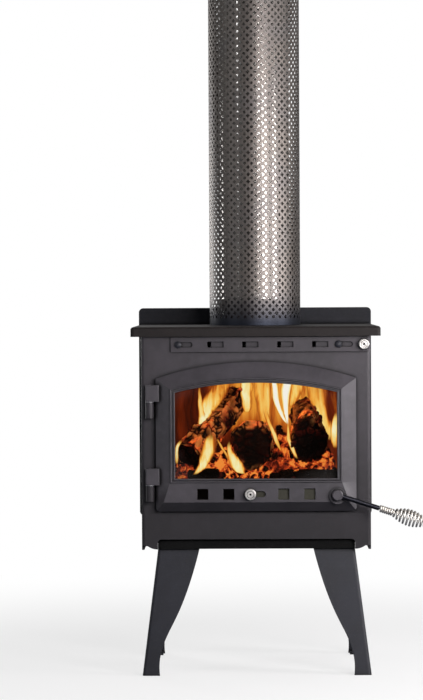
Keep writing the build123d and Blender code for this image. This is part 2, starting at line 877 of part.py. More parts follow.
# Catch plate inside the front panel, above the latch finger
catch_foot = handle_z + finger_length + finger_tip_radius + catch_gap
with BuildPart() as latch_catch:
    with BuildSketch(facing(panel_inner)) as catch_outline:
        with Locations((handle_x - catch_left, catch_foot)):
            Rectangle(catch_left + catch_right, catch_height, align=(Align.MIN, Align.MIN))
        fillet(catch_outline.vertices().group_by(Axis.X)[0], catch_corner_radius)
    extrude(amount=-catch_wall)
pieces["latch_catch"] = latch_catch


# Door casting: bevelled frame, flat field with the air holes, bead round the window
with BuildPart() as door_frame:
    upper_rim = (door_shape[0], bead_foot, door_shape[2], door_shape[3])
    with BuildSketch(facing(door_edge_front)):
        arched(upper_rim)
    with BuildSketch(facing(door_front)):
        arched(bead_shape)
    loft(ruled=True)
    with BuildSketch(facing(door_edge_front)):
        Polygon(
            (-door_half_width, door_foot),
            (door_half_width, door_foot),
            (door_half_width, bead_foot),
            (-door_half_width, bead_foot),
            align=None,
        )
    with BuildSketch(facing(door_front)):
        Polygon(
            (-field_half_width, door_foot + field_rise),
            (field_half_width, door_foot + field_rise),
            (bead_half_width, bead_foot),
            (-bead_half_width, bead_foot),
            align=None,
        )
    loft(ruled=True)
    with BuildSketch(facing(door_back)):
        arched(door_shape)
    extrude(amount=door_edge_wall)
    with BuildSketch(facing(door_back)) as rounded_outline:
        arched(inset(door_shape, -door_corner_relief))
        fillet(rounded_outline.vertices().group_by(Axis.Y)[0], door_foot_radius)
        fillet(rounded_outline.vertices().group_by(Axis.Y)[-1], door_head_radius)
    extrude(amount=door_thickness, mode=Mode.INTERSECT)

    # Two beads with a groove between them
    with BuildSketch(facing(door_front)):
        arched_ring(bead_shape, inset(bead_shape, bead_width))
        arched_ring(inset(window_shape, -bead_width), window_shape)
    extrude(amount=bead_height)
    fillet(door_frame.faces().sort_by(Axis.Y)[0:2].edges(), bead_rounding)

    # Boss behind the handle
    with BuildSketch(facing(glass_back)):
        with Locations((handle_x, handle_z - boss_drop)):
            Circle(boss_radius)
    extrude(amount=glass_back - boss_front)

    # Window, glass pocket, clip shelf, air chamber and rope channel
    with BuildSketch(facing(door_back)):
        arched(window_shape)
    extrude(amount=door_thickness + bead_height, mode=Mode.SUBTRACT)
    with BuildSketch(facing(door_back)):
        arched(inset(glass_shape, -assembly_gap))
    extrude(amount=door_back - gasket_front, mode=Mode.SUBTRACT)
    with BuildSketch(facing(door_back)):
        arched(shelf_shape)
    extrude(amount=door_back - glass_back, mode=Mode.SUBTRACT)
    with BuildSketch(facing(door_back)):
        with Locations((0, (chamber_foot + chamber_top) / 2)):
            Rectangle(2 * chamber_half_width, air_chamber_height)
    extrude(amount=door_back - field_back, mode=Mode.SUBTRACT)
    with BuildSketch(facing(door_back)):
        arched_ring(inset(rope_shape, -rope_width / 2), inset(rope_shape, rope_width / 2))
    extrude(amount=rope_depth, mode=Mode.SUBTRACT)

    # Air holes, knob slot, handle bore and screw holes
    with BuildSketch(facing(field_back)):
        with Locations(*[(side * x, air_hole_z) for side in (-1, 1) for x in air_hole_reaches]):
            Rectangle(air_hole_size, air_hole_size)
        with Locations((0, air_hole_z)):
            SlotOverall(air_slot_width, air_slot_height)
    extrude(amount=air_field_wall, mode=Mode.SUBTRACT)
    with BuildSketch(facing(door_back)):
        with Locations((handle_x, handle_z)):
            Circle(spindle_radius + running_gap)
    extrude(amount=door_back - boss_front, mode=Mode.SUBTRACT)
    with BuildSketch(facing(glass_back)):
        with Locations(*[Location((x, z, 0), (0, 0, turn)) for x, z, turn in clip_places]):
            with Locations((0, clip_screw_offset)):
                Circle(clip_screw_radius)
    extrude(amount=clip_screw_length, mode=Mode.SUBTRACT)

    # Hinge knuckles cast onto the edge
    for top in post_tops:
        knuckle_foot = top + hinge_washer_wall + fit_gap
        with BuildSketch(Plane.XY.offset(knuckle_foot)) as knuckle_outline:
            with Locations((hinge_x - knuckle_left_reach, hinge_y - knuckle_front_reach)):
                Rectangle(
                    knuckle_left_reach + knuckle_right_reach,
                    knuckle_front_reach + knuckle_back_reach,
                    align=(Align.MIN, Align.MIN),
                )
            fillet(knuckle_outline.vertices(), knuckle_rounding)
        extrude(amount=knuckle_height)
        with BuildSketch(Plane.XY.offset(knuckle_foot)):
            with Locations((hinge_x, hinge_y)):
                Circle(hinge_pin_radius + running_gap)
        extrude(amount=knuckle_height, mode=Mode.SUBTRACT)
pieces["door_frame"] = door_frame

# Rope seal between the door and the front panel
with BuildPart() as door_rope_seal:
    rope_half = rope_width / 2 - fit_gap
    with BuildSketch(facing(body_front - fit_gap)):
        arched_ring(inset(rope_shape, -rope_half), inset(rope_shape, rope_half))
    extrude(amount=body_front - fit_gap - door_back + rope_depth)
pieces["door_rope_seal"] = door_rope_seal

with BuildPart() as glass_gasket:
    with BuildSketch(facing(glass_front)):
        arched_ring(glass_shape, window_shape)
    extrude(amount=gasket_wall)
pieces["glass_gasket"] = glass_gasket

with BuildPart() as door_glass:
    with BuildSketch(facing(glass_back)):
        arched(glass_shape)
    extrude(amount=glass_wall)
pieces["door_glass"] = door_glass

with BuildPart() as glass_clips:
    with BuildSketch(facing(glass_back)):
        with Locations(*[Location((x, z, 0), (0, 0, turn)) for x, z, turn in clip_places]):
            Rectangle(clip_width, clip_length)
            with Locations((0, clip_screw_offset)):
                Circle(clip_screw_radius + assembly_gap / 2, mode=Mode.SUBTRACT)
    extrude(amount=-clip_wall)
pieces["glass_clips"] = glass_clips

with BuildPart() as glass_screws:
    with BuildSketch(facing(glass_back + clip_wall)):
        with Locations(*[Location((x, z, 0), (0, 0, turn)) for x, z, turn in clip_places]):
            with Locations((0, clip_screw_offset)):
                Circle(clip_screw_head_radius)
    extrude(amount=-clip_screw_head_height)
    with BuildSketch(facing(glass_back + clip_wall)):
        with Locations(*[Location((x, z, 0), (0, 0, turn)) for x, z, turn in clip_places]):
            with Locations((0, clip_screw_offset)):
                Circle(clip_screw_radius)
    extrude(amount=clip_wall + clip_screw_length)
pieces["glass_screws"] = glass_screws

# Two lipped guides that carry the door's air slider
with BuildPart() as air_guides:
    slider_foot = air_hole_z - slider_half_height
    slider_top = air_hole_z + slider_half_height
    with BuildSketch(Plane.YZ.offset(air_guide_left)):
        Polygon(
            (field_back, chamber_foot),
            (slider_back + fit_gap + air_guide_wall, chamber_foot),
            (slider_back + fit_gap + air_guide_wall, slider_foot + air_guide_lip),
            (slider_back + fit_gap, slider_foot + air_guide_lip),
            (slider_back + fit_gap, slider_foot - fit_gap),
            (field_back, slider_foot - fit_gap),
            align=None,
        )
        Polygon(
            (field_back, chamber_top),
            (slider_back + fit_gap + air_guide_wall, chamber_top),
            (slider_back + fit_gap + air_guide_wall, slider_top - air_guide_lip),
            (slider_back + fit_gap, slider_top - air_guide_lip),
            (slider_back + fit_gap, slider_top + fit_gap),
            (field_back, slider_top + fit_gap),
            align=None,
        )
    extrude(amount=air_guide_right - air_guide_left)
pieces["air_guides"] = air_guides

# Door air slider: two long windows stay open, two square ones open as it moves to the right
with BuildPart() as door_air_slider:
    with BuildSketch(facing(slider_back)):
        with Locations(((air_slider_left + air_slider_right) / 2, air_hole_z)):
            Rectangle(air_slider_right - air_slider_left, 2 * slider_half_height)
        with Locations(*[(-x - air_travel / 2, air_hole_z) for x in air_hole_reaches]):
            Rectangle(air_hole_size + air_travel, air_hole_size, mode=Mode.SUBTRACT)
        with Locations(*[(x - air_travel, air_hole_z) for x in air_hole_reaches]):
            Rectangle(air_hole_size, air_hole_size, mode=Mode.SUBTRACT)
        with Locations((air_knob_x, air_hole_z)):
            Circle(knob_shank_radius + running_gap, mode=Mode.SUBTRACT)
    extrude(amount=air_slider_wall)
pieces["door_air_slider"] = door_air_slider


def knob(x, z, face, seat, back, head_radius):
    """Turned knob: head in front of a face, neck down to its seat, shank through to the back."""
    neck_front = face - knob_neck_length
    head_front = neck_front - knob_head_length
    with BuildPart() as turned:
        with BuildSketch(Plane(origin=(x, 0, z), x_dir=(1, 0, 0), z_dir=(0, 0, 1))):
            with BuildLine():
                FilletPolyline(
                    (knob_neck_radius, neck_front),
                    (head_radius, neck_front),
                    (head_radius, head_front),
                    (knob_hole_radius, head_front),
                    radius=knob_edge_radius,
                )
                Polyline(
                    (knob_hole_radius, head_front),
                    (knob_hole_radius, head_front + knob_hole_depth),
                    (0, head_front + knob_hole_depth),
                    (0, back),
                    (knob_shank_radius, back),
                    (knob_shank_radius, seat),
                    (knob_neck_radius, seat),
                    (knob_neck_radius, neck_front),
                )
            make_face()
        revolve(axis=Axis((x, 0, z), (0, 1, 0)))
    return turned


pieces["door_air_knob"] = knob(
    air_knob_x, air_hole_z, door_front, slider_front, slider_back, air_knob_radius
)


# Handle: hub and spindle in one, rod, latch finger and nut
spindle_end = door_back + spindle_reach
hub_back = boss_front - fit_gap
hub_front = hub_back - hub_length
rod_y = (hub_back + hub_front) / 2
rod_direction = Vector(cos(radians(handle_droop)), 0, -sin(radians(handle_droop)))
rod_up = Vector(sin(radians(handle_droop)), 0, cos(radians(handle_droop)))
pivot = Vector(handle_x, rod_y, handle_z)
rod_plane = Plane(origin=pivot, x_dir=rod_up, z_dir=rod_direction)
with BuildPart() as handle_spindle:
    with BuildSketch(Plane(origin=(handle_x, 0, handle_z), x_dir=(1, 0, 0), z_dir=(0, 0, 1))):
        with BuildLine():
            Polyline(
                (0, spindle_end),
                (spindle_radius, spindle_end),
                (spindle_radius, hub_back),
                (hub_radius, hub_back),
                (hub_radius, hub_front + hub_chamfer),
                (hub_radius - hub_chamfer, hub_front),
                (0, hub_front),
                close=True,
            )
        make_face()
    revolve(axis=Axis((handle_x, 0, handle_z), (0, 1, 0)))
    with BuildSketch(rod_plane.offset(hub_radius - rod_seat_depth)):
        Circle(rod_radius + running_gap)
    extrude(amount=hub_radius, mode=Mode.SUBTRACT)
pieces["handle_spindle"] = handle_spindle

tang_radius = close_radius - wire_radius - fit_gap
with BuildPart() as handle_rod:
    with BuildSketch(rod_plane.offset(hub_radius - rod_seat_depth)):
        Circle(rod_radius)
    extrude(amount=rod_length - hub_radius + rod_seat_depth)
    with BuildSketch(rod_plane.offset(rod_length)):
        Circle(tang_radius)
    extrude(amount=tang_length)
    chamfer(handle_rod.faces().sort_by(Axis(pivot, rod_direction))[-1].edges(), tang_chamfer)
pieces["handle_rod"] = handle_rod

finger_back = spindle_end - finger_nut_height - fit_gap
with BuildPart() as latch_finger:
    with BuildSketch(facing(finger_back)):
        with Locations((handle_x, handle_z)):
            Circle(finger_hub_radius)
        with Locations((handle_x, handle_z + finger_length)):
            Circle(finger_tip_radius)
        make_hull()
        with Locations((handle_x, handle_z)):
            Circle(spindle_radius + running_gap, mode=Mode.SUBTRACT)
    extrude(amount=finger_wall)
pieces["latch_finger"] = latch_finger

with BuildPart() as finger_nut:
    with BuildSketch(facing(finger_back + finger_nut_height)):
        with Locations((handle_x, handle_z)):
            RegularPolygon(finger_nut_across / 2, 6, major_radius=False)
            Circle(spindle_radius + running_gap, mode=Mode.SUBTRACT)
    extrude(amount=finger_nut_height)
pieces["finger_nut"] = finger_nut


def spring_state(turn):
    """Coil radius, reach along the rod and their rates at a turn of the grip's wire."""
    open_turn = max(turn - close_turns, 0)
    share = open_turn / open_turns
    ease = min(open_turn, 1)
    extra = open_pitch - close_pitch
    reach = rod_length + wire_radius + fit_gap + close_pitch * turn + extra * (open_turn - ease + ease**2 / 2)
    reach_rate = close_pitch + extra * ease
    swell = bulb_radius - close_radius
    bell = sin(pi * share)
    radius = close_radius + swell * bell * (1 + bulb_fullness * (1 - bell))
    radius_rate = 0.0
    if open_turn > 0:
        bell_rate = cos(pi * share) * pi / open_turns
        radius_rate = swell * bell_rate * (1 + bulb_fullness - 2 * bulb_fullness * bell)
    return radius, reach, radius_rate, reach_rate


def spring_point(turn):
    """Centre of the wire after some turns, and its direction there."""
    radius, reach, radius_rate, reach_rate = spring_state(turn)
    angle = 2 * pi * turn
    outward = rod_plane.x_dir * cos(angle) + rod_plane.y_dir * sin(angle)
    around = rod_plane.y_dir * cos(angle) - rod_plane.x_dir * sin(angle)
    point = pivot + rod_direction * reach + outward * radius
    along = rod_direction * reach_rate + outward * radius_rate + around * (2 * pi * radius)
    return point, along.normalized()


def biarc_joint(start, start_along, end, end_along):
    """Point where two arcs meet that leave one wire point and reach the next along their directions."""
    chord = end - start
    along = start_along + end_along
    spread = 2 * (1 - start_along.dot(end_along))
    lead = (-chord.dot(along) + sqrt(chord.dot(along) ** 2 + spread * chord.dot(chord))) / spread
    return (start + end + (start_along - end_along) * lead) / 2


total_turns = close_turns + open_turns
stations = [spring_point(step / steps_per_turn) for step in range(total_turns * steps_per_turn + 1)]
with BuildPart() as spring_grip:
    with BuildLine() as wire:
        first_point, first_along = stations[0]
        Line(first_point - first_along * 2 * wire_radius, first_point)
        for (start, start_along), (end, end_along) in zip(stations, stations[1:]):
            joint = biarc_joint(start, start_along, end, end_along)
            first_arc = TangentArc(start, joint, tangent=start_along)
            TangentArc(joint, end, tangent=first_arc % 1)
        last_point, last_along = stations[-1]
        Line(last_point, last_point + last_along * 2 * wire_radius)
    with BuildSketch(Plane(origin=wire.line @ 0, z_dir=wire.line % 0)):
        Circle(wire_radius)
    sweep()
pieces["spring_grip"] = spring_grip

samples_per_turn = 48
samples = [spring_point(step / samples_per_turn)[0] for step in range(total_turns * samples_per_turn + 1)]
least_gap = min(
    (samples[first] - samples[second]).length - 2 * wire_radius
    for first in range(len(samples))
    for second in range(first + samples_per_turn // 2, min(first + 2 * samples_per_turn, len(samples)))
)
print("spring grip: least gap to itself", round(least_gap, 2))


# Top air slide: strip with four windows, two slots and a knob
slot_length = strip_travel + 2 * strip_bolt_shoulder + 2 * strip_bolt_play
with BuildPart() as top_air_strip:
    with BuildSketch(facing(strip_back)) as strip_outline:
        with Locations(((strip_left + strip_right) / 2, strip_z)):
            Rectangle(strip_right - strip_left, strip_height)
        fillet(strip_outline.vertices(), strip_wall)
        with Locations(*[(x, strip_z) for x in strip_windows]):
            Rectangle(strip_window_width, strip_window_height, mode=Mode.SUBTRACT)
        with Locations(*[(x + strip_travel / 2, strip_z) for x in strip_bolts]):
            SlotOverall(slot_length, 2 * (strip_bolt_shoulder + strip_bolt_play), mode=Mode.SUBTRACT)
        with Locations((top_knob_x, strip_z)):
            Circle(knob_shank_radius + running_gap, mode=Mode.SUBTRACT)
    extrude(amount=strip_wall)
pieces["top_air_strip"] = top_air_strip

pieces["top_air_knob"] = knob(
    top_knob_x, strip_z, strip_front, strip_front, strip_back, top_knob_radius
)

with BuildPart() as strip_guide_bolts:
    for x in strip_bolts:
        head_back = strip_front - fit_gap
        head_front = head_back - strip_bolt_head_height
        with BuildSketch(Plane(origin=(x, 0, strip_z), x_dir=(1, 0, 0), z_dir=(0, 0, 1))):
            with BuildLine():
                Polyline(
                    (0, head_front),
                    (0, body_front + strip_bolt_shank_length),
                    (strip_bolt_shank, body_front + strip_bolt_shank_length),
                    (strip_bolt_shank, body_front),
                    (strip_bolt_shoulder, body_front),
                    (strip_bolt_shoulder, head_back),
                    (strip_bolt_head, head_back),
                )
                rim_front = head_back - strip_bolt_rim
                dome_height = rim_front - head_front
                dome_radius = (strip_bolt_head**2 + dome_height**2) / (2 * dome_height)
                dome_middle = head_front + dome_radius - sqrt(dome_radius**2 - strip_bolt_head**2 / 4)
                Line((strip_bolt_head, head_back), (strip_bolt_head, rim_front))
                dome_half = (strip_bolt_head / 2, dome_middle)
                ThreePointArc((strip_bolt_head, rim_front), dome_half, (0, head_front))
            make_face()
        revolve(axis=Axis((x, 0, strip_z), (0, 1, 0)))
pieces["strip_guide_bolts"] = strip_guide_bolts


# Fire: three split logs on a mound of embers that closes round their undersides
def in_firebox(across, deep, high):
    """Point of the firebox: shares of its half width, of its depth and of its height under the baffle."""
    return Vector(
        across * brick_half,
        lining_front + deep * (rear_inner - brick_wall - lining_front),
        brick_top + high * (baffle_foot - brick_top),
    )


def split_log(start, end, corners):
    """Split log between two points; its corners are (angle, share of the log radius) pairs."""
    with BuildPart() as billet:
        for origin, share in ((start, log_radius), (end, log_far_share * log_radius)):
            with BuildSketch(Plane(origin=origin, x_dir=(1, 0, 0), z_dir=end - start)):
                Polygon(
                    *[
                        (share * size * cos(radians(angle)), -share * size * sin(radians(angle)))
                        for angle, size in corners
                    ],
                    align=None,
                )
        loft(ruled=True)
    return billet


logs = {
    "log_left": split_log(
        in_firebox(-0.692, 0.077, 0.349),
        in_firebox(-0.223, 0.444, 0.768),
        ((15, 0.76), (70, 0.88), (128, 0.72), (180, 0.84), (235, 0.8), (300, 0.88)),
    ),
    "log_centre": split_log(
        in_firebox(-0.028, 0.059, 0.436),
        in_firebox(0.019, 0.503, 0.477),
        ((22, 0.92), (62, 0.94), (112, 0.9), (160, 1.12), (228, 1.0), (285, 0.84), (335, 0.96)),
    ),
    "log_right": split_log(
        in_firebox(0.573, 0.065, 0.411),
        in_firebox(0.488, 0.462, 0.701),
        ((12, 0.76), (80, 0.92), (130, 0.76), (185, 0.68), (240, 0.84), (310, 0.92)),
    ),
}
pieces.update(logs)

with BuildPart() as ember_bed:
    with BuildSketch(Plane.XY.offset(brick_top)):
        with Locations((0, lining_front + ember_front_gap + ember_depth / 2)):
            RectangleRounded(2 * (brick_half - ember_side_gap), ember_depth, ember_corner_radius)
    extrude(amount=ember_height, taper=ember_taper)
    for billet in logs.values():
        add(billet.part, mode=Mode.SUBTRACT)
pieces["ember_bed"] = ember_bed

os.makedirs("parts", exist_ok=True)
for name, piece in pieces.items():
    piece.part.label = name
    export_step(piece.part, f"parts/{name}.step")
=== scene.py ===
import json
import math
import random

import bmesh
import bpy
from bpy.props import FloatProperty, FloatVectorProperty, IntProperty, PointerProperty
from bpy.types import Operator, Panel, PropertyGroup
from mathutils import Matrix, Vector, bvhtree, noise


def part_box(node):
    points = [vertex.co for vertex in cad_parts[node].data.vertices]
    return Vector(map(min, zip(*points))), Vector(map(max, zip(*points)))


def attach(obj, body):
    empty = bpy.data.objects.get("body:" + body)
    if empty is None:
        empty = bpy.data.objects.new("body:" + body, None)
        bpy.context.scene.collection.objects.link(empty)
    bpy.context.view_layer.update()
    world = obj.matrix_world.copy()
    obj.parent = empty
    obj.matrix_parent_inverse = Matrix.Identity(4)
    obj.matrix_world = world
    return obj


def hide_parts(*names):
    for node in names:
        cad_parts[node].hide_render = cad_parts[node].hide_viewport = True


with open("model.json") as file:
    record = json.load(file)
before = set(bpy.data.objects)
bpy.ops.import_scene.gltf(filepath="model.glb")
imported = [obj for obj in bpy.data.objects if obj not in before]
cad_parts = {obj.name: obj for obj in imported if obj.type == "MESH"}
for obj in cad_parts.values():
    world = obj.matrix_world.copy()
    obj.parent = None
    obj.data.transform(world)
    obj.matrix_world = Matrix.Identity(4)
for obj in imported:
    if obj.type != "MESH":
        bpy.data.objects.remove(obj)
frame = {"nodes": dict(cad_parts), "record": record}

bl_info = {
    "name": "Wood heater looks",
    "version": (1, 0, 0),
    "blender": (4, 5, 0),
    "location": "3D View > Sidebar > Heater",
    "description": "Dresses the packed wood heater: finishes, perforated flue guard, coil grip, rope seals and fire",
    "category": "Object",
}

MM = 0.001
SAME_POINT = 0.001 * MM
BACK, UP = Vector((0, 1, 0)), Vector((0, 0, 1))
BLACK, WHITE = (0.0, 0.0, 0.0), (1.0, 1.0, 1.0)
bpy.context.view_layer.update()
GUARD_LOW, GUARD_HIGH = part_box("flue_guard")
FLUE_AXIS = (GUARD_LOW + GUARD_HIGH) / 2
GUARD_RADIUS = (GUARD_HIGH.x - GUARD_LOW.x) / 2
GLASS_LOW, GLASS_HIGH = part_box("door_glass")
BED_LOW, BED_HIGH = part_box("ember_bed")

# Window opening in the door: what the glass laps over, its half width and its lowest and highest point
WINDOW_LAP = 8 * MM
WINDOW_HALF = GLASS_HIGH.x - WINDOW_LAP
WINDOW_FOOT = GLASS_LOW.z + WINDOW_LAP
WINDOW_CROWN = GLASS_HIGH.z - WINDOW_LAP

# Heights between which the painted shade on the paint lifts, so that it grows paler upwards, and how far up the
# guard's foot carries a painted bluish reflection
SHADE_LOW, SHADE_HIGH = 220 * MM, 700 * MM
FOOT_REFLECTION_HEIGHT = 85 * MM

# Where the photograph was taken from
EYE = Vector((-0.01545, -5.78615, 0.80626))
EYE_PAN = math.radians(0.7831)
EYE_TILT = math.radians(90 - 1.2529)
EYE_ROLL = math.radians(-0.3155)
EYE_LENS = 137.89

# Without a seed, noise_vector gives other values at each start of Blender
NOISE_SEED = 12
COAL_SEED = 7


def length_prop(label, text, value):
    """Length setting, its default in mm."""
    return FloatProperty(name=label, description=text, default=value * MM, unit="LENGTH", precision=5)


def count_prop(label, text, value):
    """Setting that counts something."""
    return IntProperty(name=label, description=text, default=value, min=2)


def power_prop(label, text, value):
    """Power setting of a lamp, in watts."""
    return FloatProperty(name=label, description=text, default=value, unit="POWER")


def share_prop(label, text, value):
    """Setting between 0 and 1."""
    return FloatProperty(name=label, description=text, default=value, subtype="FACTOR", min=0.0, max=1.0)


def colour_prop(label, text, value):
    """Colour setting of a finish."""
    return FloatVectorProperty(name=label, description=text, default=value, subtype="COLOR", min=0.0, max=1.0)


class GuardSizes(PropertyGroup):
    """Sizes of the perforated flue guard."""

    holes_round: count_prop("Holes round", "Holes round the guard", 40)
    hole_rows: count_prop("Rows", "Rows of round holes", 55)
    hole_radius: length_prop("Hole radius", "Radius of the round holes", 3.4)
    row_pitch: length_prop("Row pitch", "Height from one row of round holes to the next", 15.85)
    foot_band: length_prop("Foot band", "Height of the lowest row of holes above the foot", 18.5)
    bridge: length_prop("Bridge", "Metal left between two tips of the star holes", 5.7)
    star_waist: length_prop("Star waist", "How near the star hole's sides come to its middle", 2.25)
    wall: length_prop("Wall", "Thickness of the sheet", 1.0)
    phase: FloatProperty(
        name="Phase", description="Turn of the holes about the flue", default=math.radians(3.4), subtype="ANGLE"
    )


class GripSizes(PropertyGroup):
    """Sizes of the coil grip on the handle."""

    wire: length_prop("Wire", "Radius of the grip's wire", 2.25)
    neck: length_prop("Neck", "Radius of the close coils, to the middle of the wire", 5.6)
    swell: length_prop("Swell", "How far the open coils bulge beyond the neck", 10.3)
    close_pitch: length_prop("Close pitch", "Length of one close coil", 4.55)
    open_pitch: length_prop("Open pitch", "Length of one open coil", 7.4)
    close_turns: count_prop("Close turns", "Close coils next to the rod", 6)
    open_turns: count_prop("Open turns", "Open coils of the bulge", 10)
    turn_steps: count_prop("Steps", "Straight pieces of wire in one coil", 28)


class RopeSizes(PropertyGroup):
    """Sizes of the woven door rope and of the flat tape under the glass."""

    rope_inset: length_prop("Rope inset", "Middle of the rope inside the outline of its channel", 4.2)
    rope_ease: length_prop("Rope ease", "How far the rope cuts the corners of its channel", 6.0)
    rope_width: length_prop("Rope width", "Width of the door rope in its channel", 8.2)
    rope_depth: length_prop("Rope depth", "Depth of the door rope in its channel", 8.5)
    rope_columns: count_prop("Rope columns", "Faces round the door rope", 24)
    plait_length: length_prop("Plait length", "Length of one repeat of the plait", 9.0)
    plait_relief: length_prop("Plait relief", "Depth between two strands of the plait", 0.7)
    strands: count_prop("Strands", "Strands of the plait seen round the rope", 6)
    tape_inset: length_prop("Tape inset", "Middle of the tape inside the outline of the glass", 4.0)
    tape_half: length_prop("Tape half", "Half the width of the tape", 3.9)
    tape_columns: count_prop("Tape columns", "Faces across the tape", 10)
    tape_relief: length_prop("Tape relief", "Depth of the weave of the flat tape", 0.2)
    yarn: length_prop("Yarn", "Length of one repeat of the flat tape's weave", 4.0)
    step: length_prop("Step", "Length of a face along the ropes", 1.0)


class FireSizes(PropertyGroup):
    """Sizes of the burning logs, the embers and the flames."""

    log_grid: length_prop("Log grid", "Size of the faces of the charred logs", 1.7)
    plate_length: length_prop("Char plate length", "Length of a charred plate along the grain", 13.0)
    plate_width: length_prop("Char plate width", "Width of a charred plate across the grain", 18.0)
    plate_step: length_prop("Plate step", "How much one charred plate stands above another", 2.6)
    log_lumps: length_prop("Log lumps", "Depth of the lumps and hollows of a log", 4.5)
    crack_depth: length_prop("Crack depth", "Depth of the cracks between charred plates", 4.2)
    bed_grid: length_prop("Bed grid", "Size of the faces of the ember bed", 2.4)
    lump_size: length_prop("Lump size", "Width of the lumps of the ember bed", 16.0)
    lump_relief: length_prop("Lump relief", "Height of the lumps of the ember bed", 6.5)
    coal_count: count_prop("Coals", "Loose coals on the ember bed", 90)
    coal_size: length_prop("Coal size", "Width of a middling loose coal", 13.0)
    flame_bulge: length_prop("Flame bulge", "How far a flame's middle stands in front of its edges", 9.0)


class HeaterColours(PropertyGroup):
    """Colours of the heater's finishes; those of paints and metals have the name of their finish."""

    stove_paint: colour_prop("Stove paint", "Stove paint of the plates", (0.041, 0.035, 0.042))
    cast_paint: colour_prop("Cast paint", "Stove paint on the cast door", (0.056, 0.05, 0.058))
    # A darker, browner copy of the stove paint for the top plate
    baked_paint: colour_prop("Baked paint", "Stove paint baked brown by the flue", (0.015, 0.0115, 0.011))
    # Painted shade and reflection: a darker, bluish copy of the stove paint for the legs and the strip's bolts
    leg_paint: colour_prop("Leg paint", "Stove paint of the legs and the strip's bolts", (0.015, 0.0157, 0.0225))
    # Painted shade and reflection: a darker, bluish copy of the stove paint for the rear heat shield
    shield_paint: colour_prop("Shield paint", "Stove paint of the rear heat shield", (0.012, 0.0125, 0.017))
    # Painted shade: a near black copy of the stove paint for the shade under the firebox; on the log retainer it
    # stands for soot
    shaded_paint: colour_prop("Shaded paint", "Stove paint under the firebox", (0.005, 0.005, 0.005))
    bare: colour_prop("Bare steel", "Steel where the paint is worn", (0.2, 0.19, 0.185))
    zinc_steel: colour_prop("Zinc steel", "Bolts, nuts and washers", (0.42, 0.42, 0.43))
    sooted_steel: colour_prop("Sooted steel", "Air slider behind the door's holes", (0.075, 0.072, 0.058))
    blackened_steel: colour_prop("Blackened steel", "Rod of the handle", (0.03, 0.03, 0.036))
    stainless_tube: colour_prop("Stainless tube", "Flue pipe and knobs", (0.62, 0.6, 0.57))
    spring_wire: colour_prop("Spring wire", "Bright wire of the coil grip", (0.8, 0.77, 0.72))
    guard_sheet: colour_prop("Guard sheet", "Dark stainless sheet of the flue guard", (0.22, 0.195, 0.178))
    # Painted reflection: the guard's foot is painted dark and bluish
    guard_foot: colour_prop("Guard foot", "Heat-blued foot of the flue guard", (0.033, 0.037, 0.05))
    brick: colour_prop("Firebrick", "Firebrick lining", (0.62, 0.5, 0.36))
    soot: colour_prop("Soot", "Soot on bricks and glass", (0.018, 0.013, 0.01))
    rope: colour_prop("Rope", "Glass rope", (0.62, 0.6, 0.55))
    char: colour_prop("Char", "Charred wood", (0.004, 0.0027, 0.0025))
    bark: colour_prop("Scorched wood", "Scorched wood on the plates", (0.5, 0.24, 0.075))
    ash: colour_prop("Ash", "Ash on the coals", (0.34, 0.3, 0.28))
    glow_dull: colour_prop("Dull glow", "Dullest glow of the embers", (0.05, 0.004, 0.002))
    glow_deep: colour_prop("Deep glow", "Deep red glow of the embers", (0.28, 0.025, 0.008))
    glow: colour_prop("Glow", "Glow of the embers", (0.78, 0.1, 0.016))
    glow_bright: colour_prop("Bright glow", "Brightest glow of the embers", (1.0, 0.31, 0.05))
    flame_smoke: colour_prop("Flame smoke", "Dimmest part of the flames", (0.022, 0.004, 0.002))
    flame_dusk: colour_prop("Flame dusk", "Dull red rim of the flames", (0.15, 0.018, 0.004))
    flame_rim: colour_prop("Flame rim", "Outer colour of the flames", (0.55, 0.13, 0.014))
    flame: colour_prop("Flame", "Body of the flames", (0.93, 0.4, 0.05))
    flame_bright: colour_prop("Bright flame", "Bright part of the flames", (1.0, 0.68, 0.17))
    flame_pale: colour_prop("Pale flame", "Palest part of the flames", (0.98, 0.92, 0.5))
    flame_white: colour_prop("White flame", "Hottest part of the flames", (1.0, 1.0, 0.94))

    def glow_stops(self):
        """Colours of a glow from black to its brightest."""
        shades = (BLACK, self.glow_dull, self.glow_deep, self.glow, self.glow_bright)
        return tuple(zip((0.0, 0.16, 0.42, 0.78, 1.0), shades))

    def flame_stops(self):
        """Colours of a flame from its dimmest to its hottest part."""
        shades = (self.flame_smoke, self.flame_dusk, self.flame_rim, self.flame, self.flame_bright, self.flame_pale)
        return tuple(zip((0.0, 0.18, 0.36, 0.52, 0.68, 0.84, 1.0), shades + (self.flame_white,)))


class StudioSettings(PropertyGroup):
    """Lamps and background of the studio."""

    key: power_prop("Key", "Lamp at the front right", 20.0)
    front: power_prop("Front", "Lamp beside the camera", 24.0)
    right: power_prop("Right", "Lamp at the right", 19.0)
    side: power_prop("Side", "Lamp at the left", 9.0)
    back: power_prop("Back", "Lamp high behind the heater", 5.0)
    rear: power_prop("Rear", "Low lamp behind the heater", 24.0)
    fire: power_prop("Fire", "Each of two glows of the fire on the firebox", 0.3)
    front_fill: share_prop("Front fill", "Light that the studio's front gives", 0.04)
    front_mirrored: share_prop("Front mirrored", "Studio's front as metal shows it", 0.13)
    back_fill: share_prop("Back fill", "Light that the studio's back gives", 0.45)
    floor_tone: share_prop("Floor", "How pale the floor is for all but the camera", 0.16)


# ---- shader helpers ----


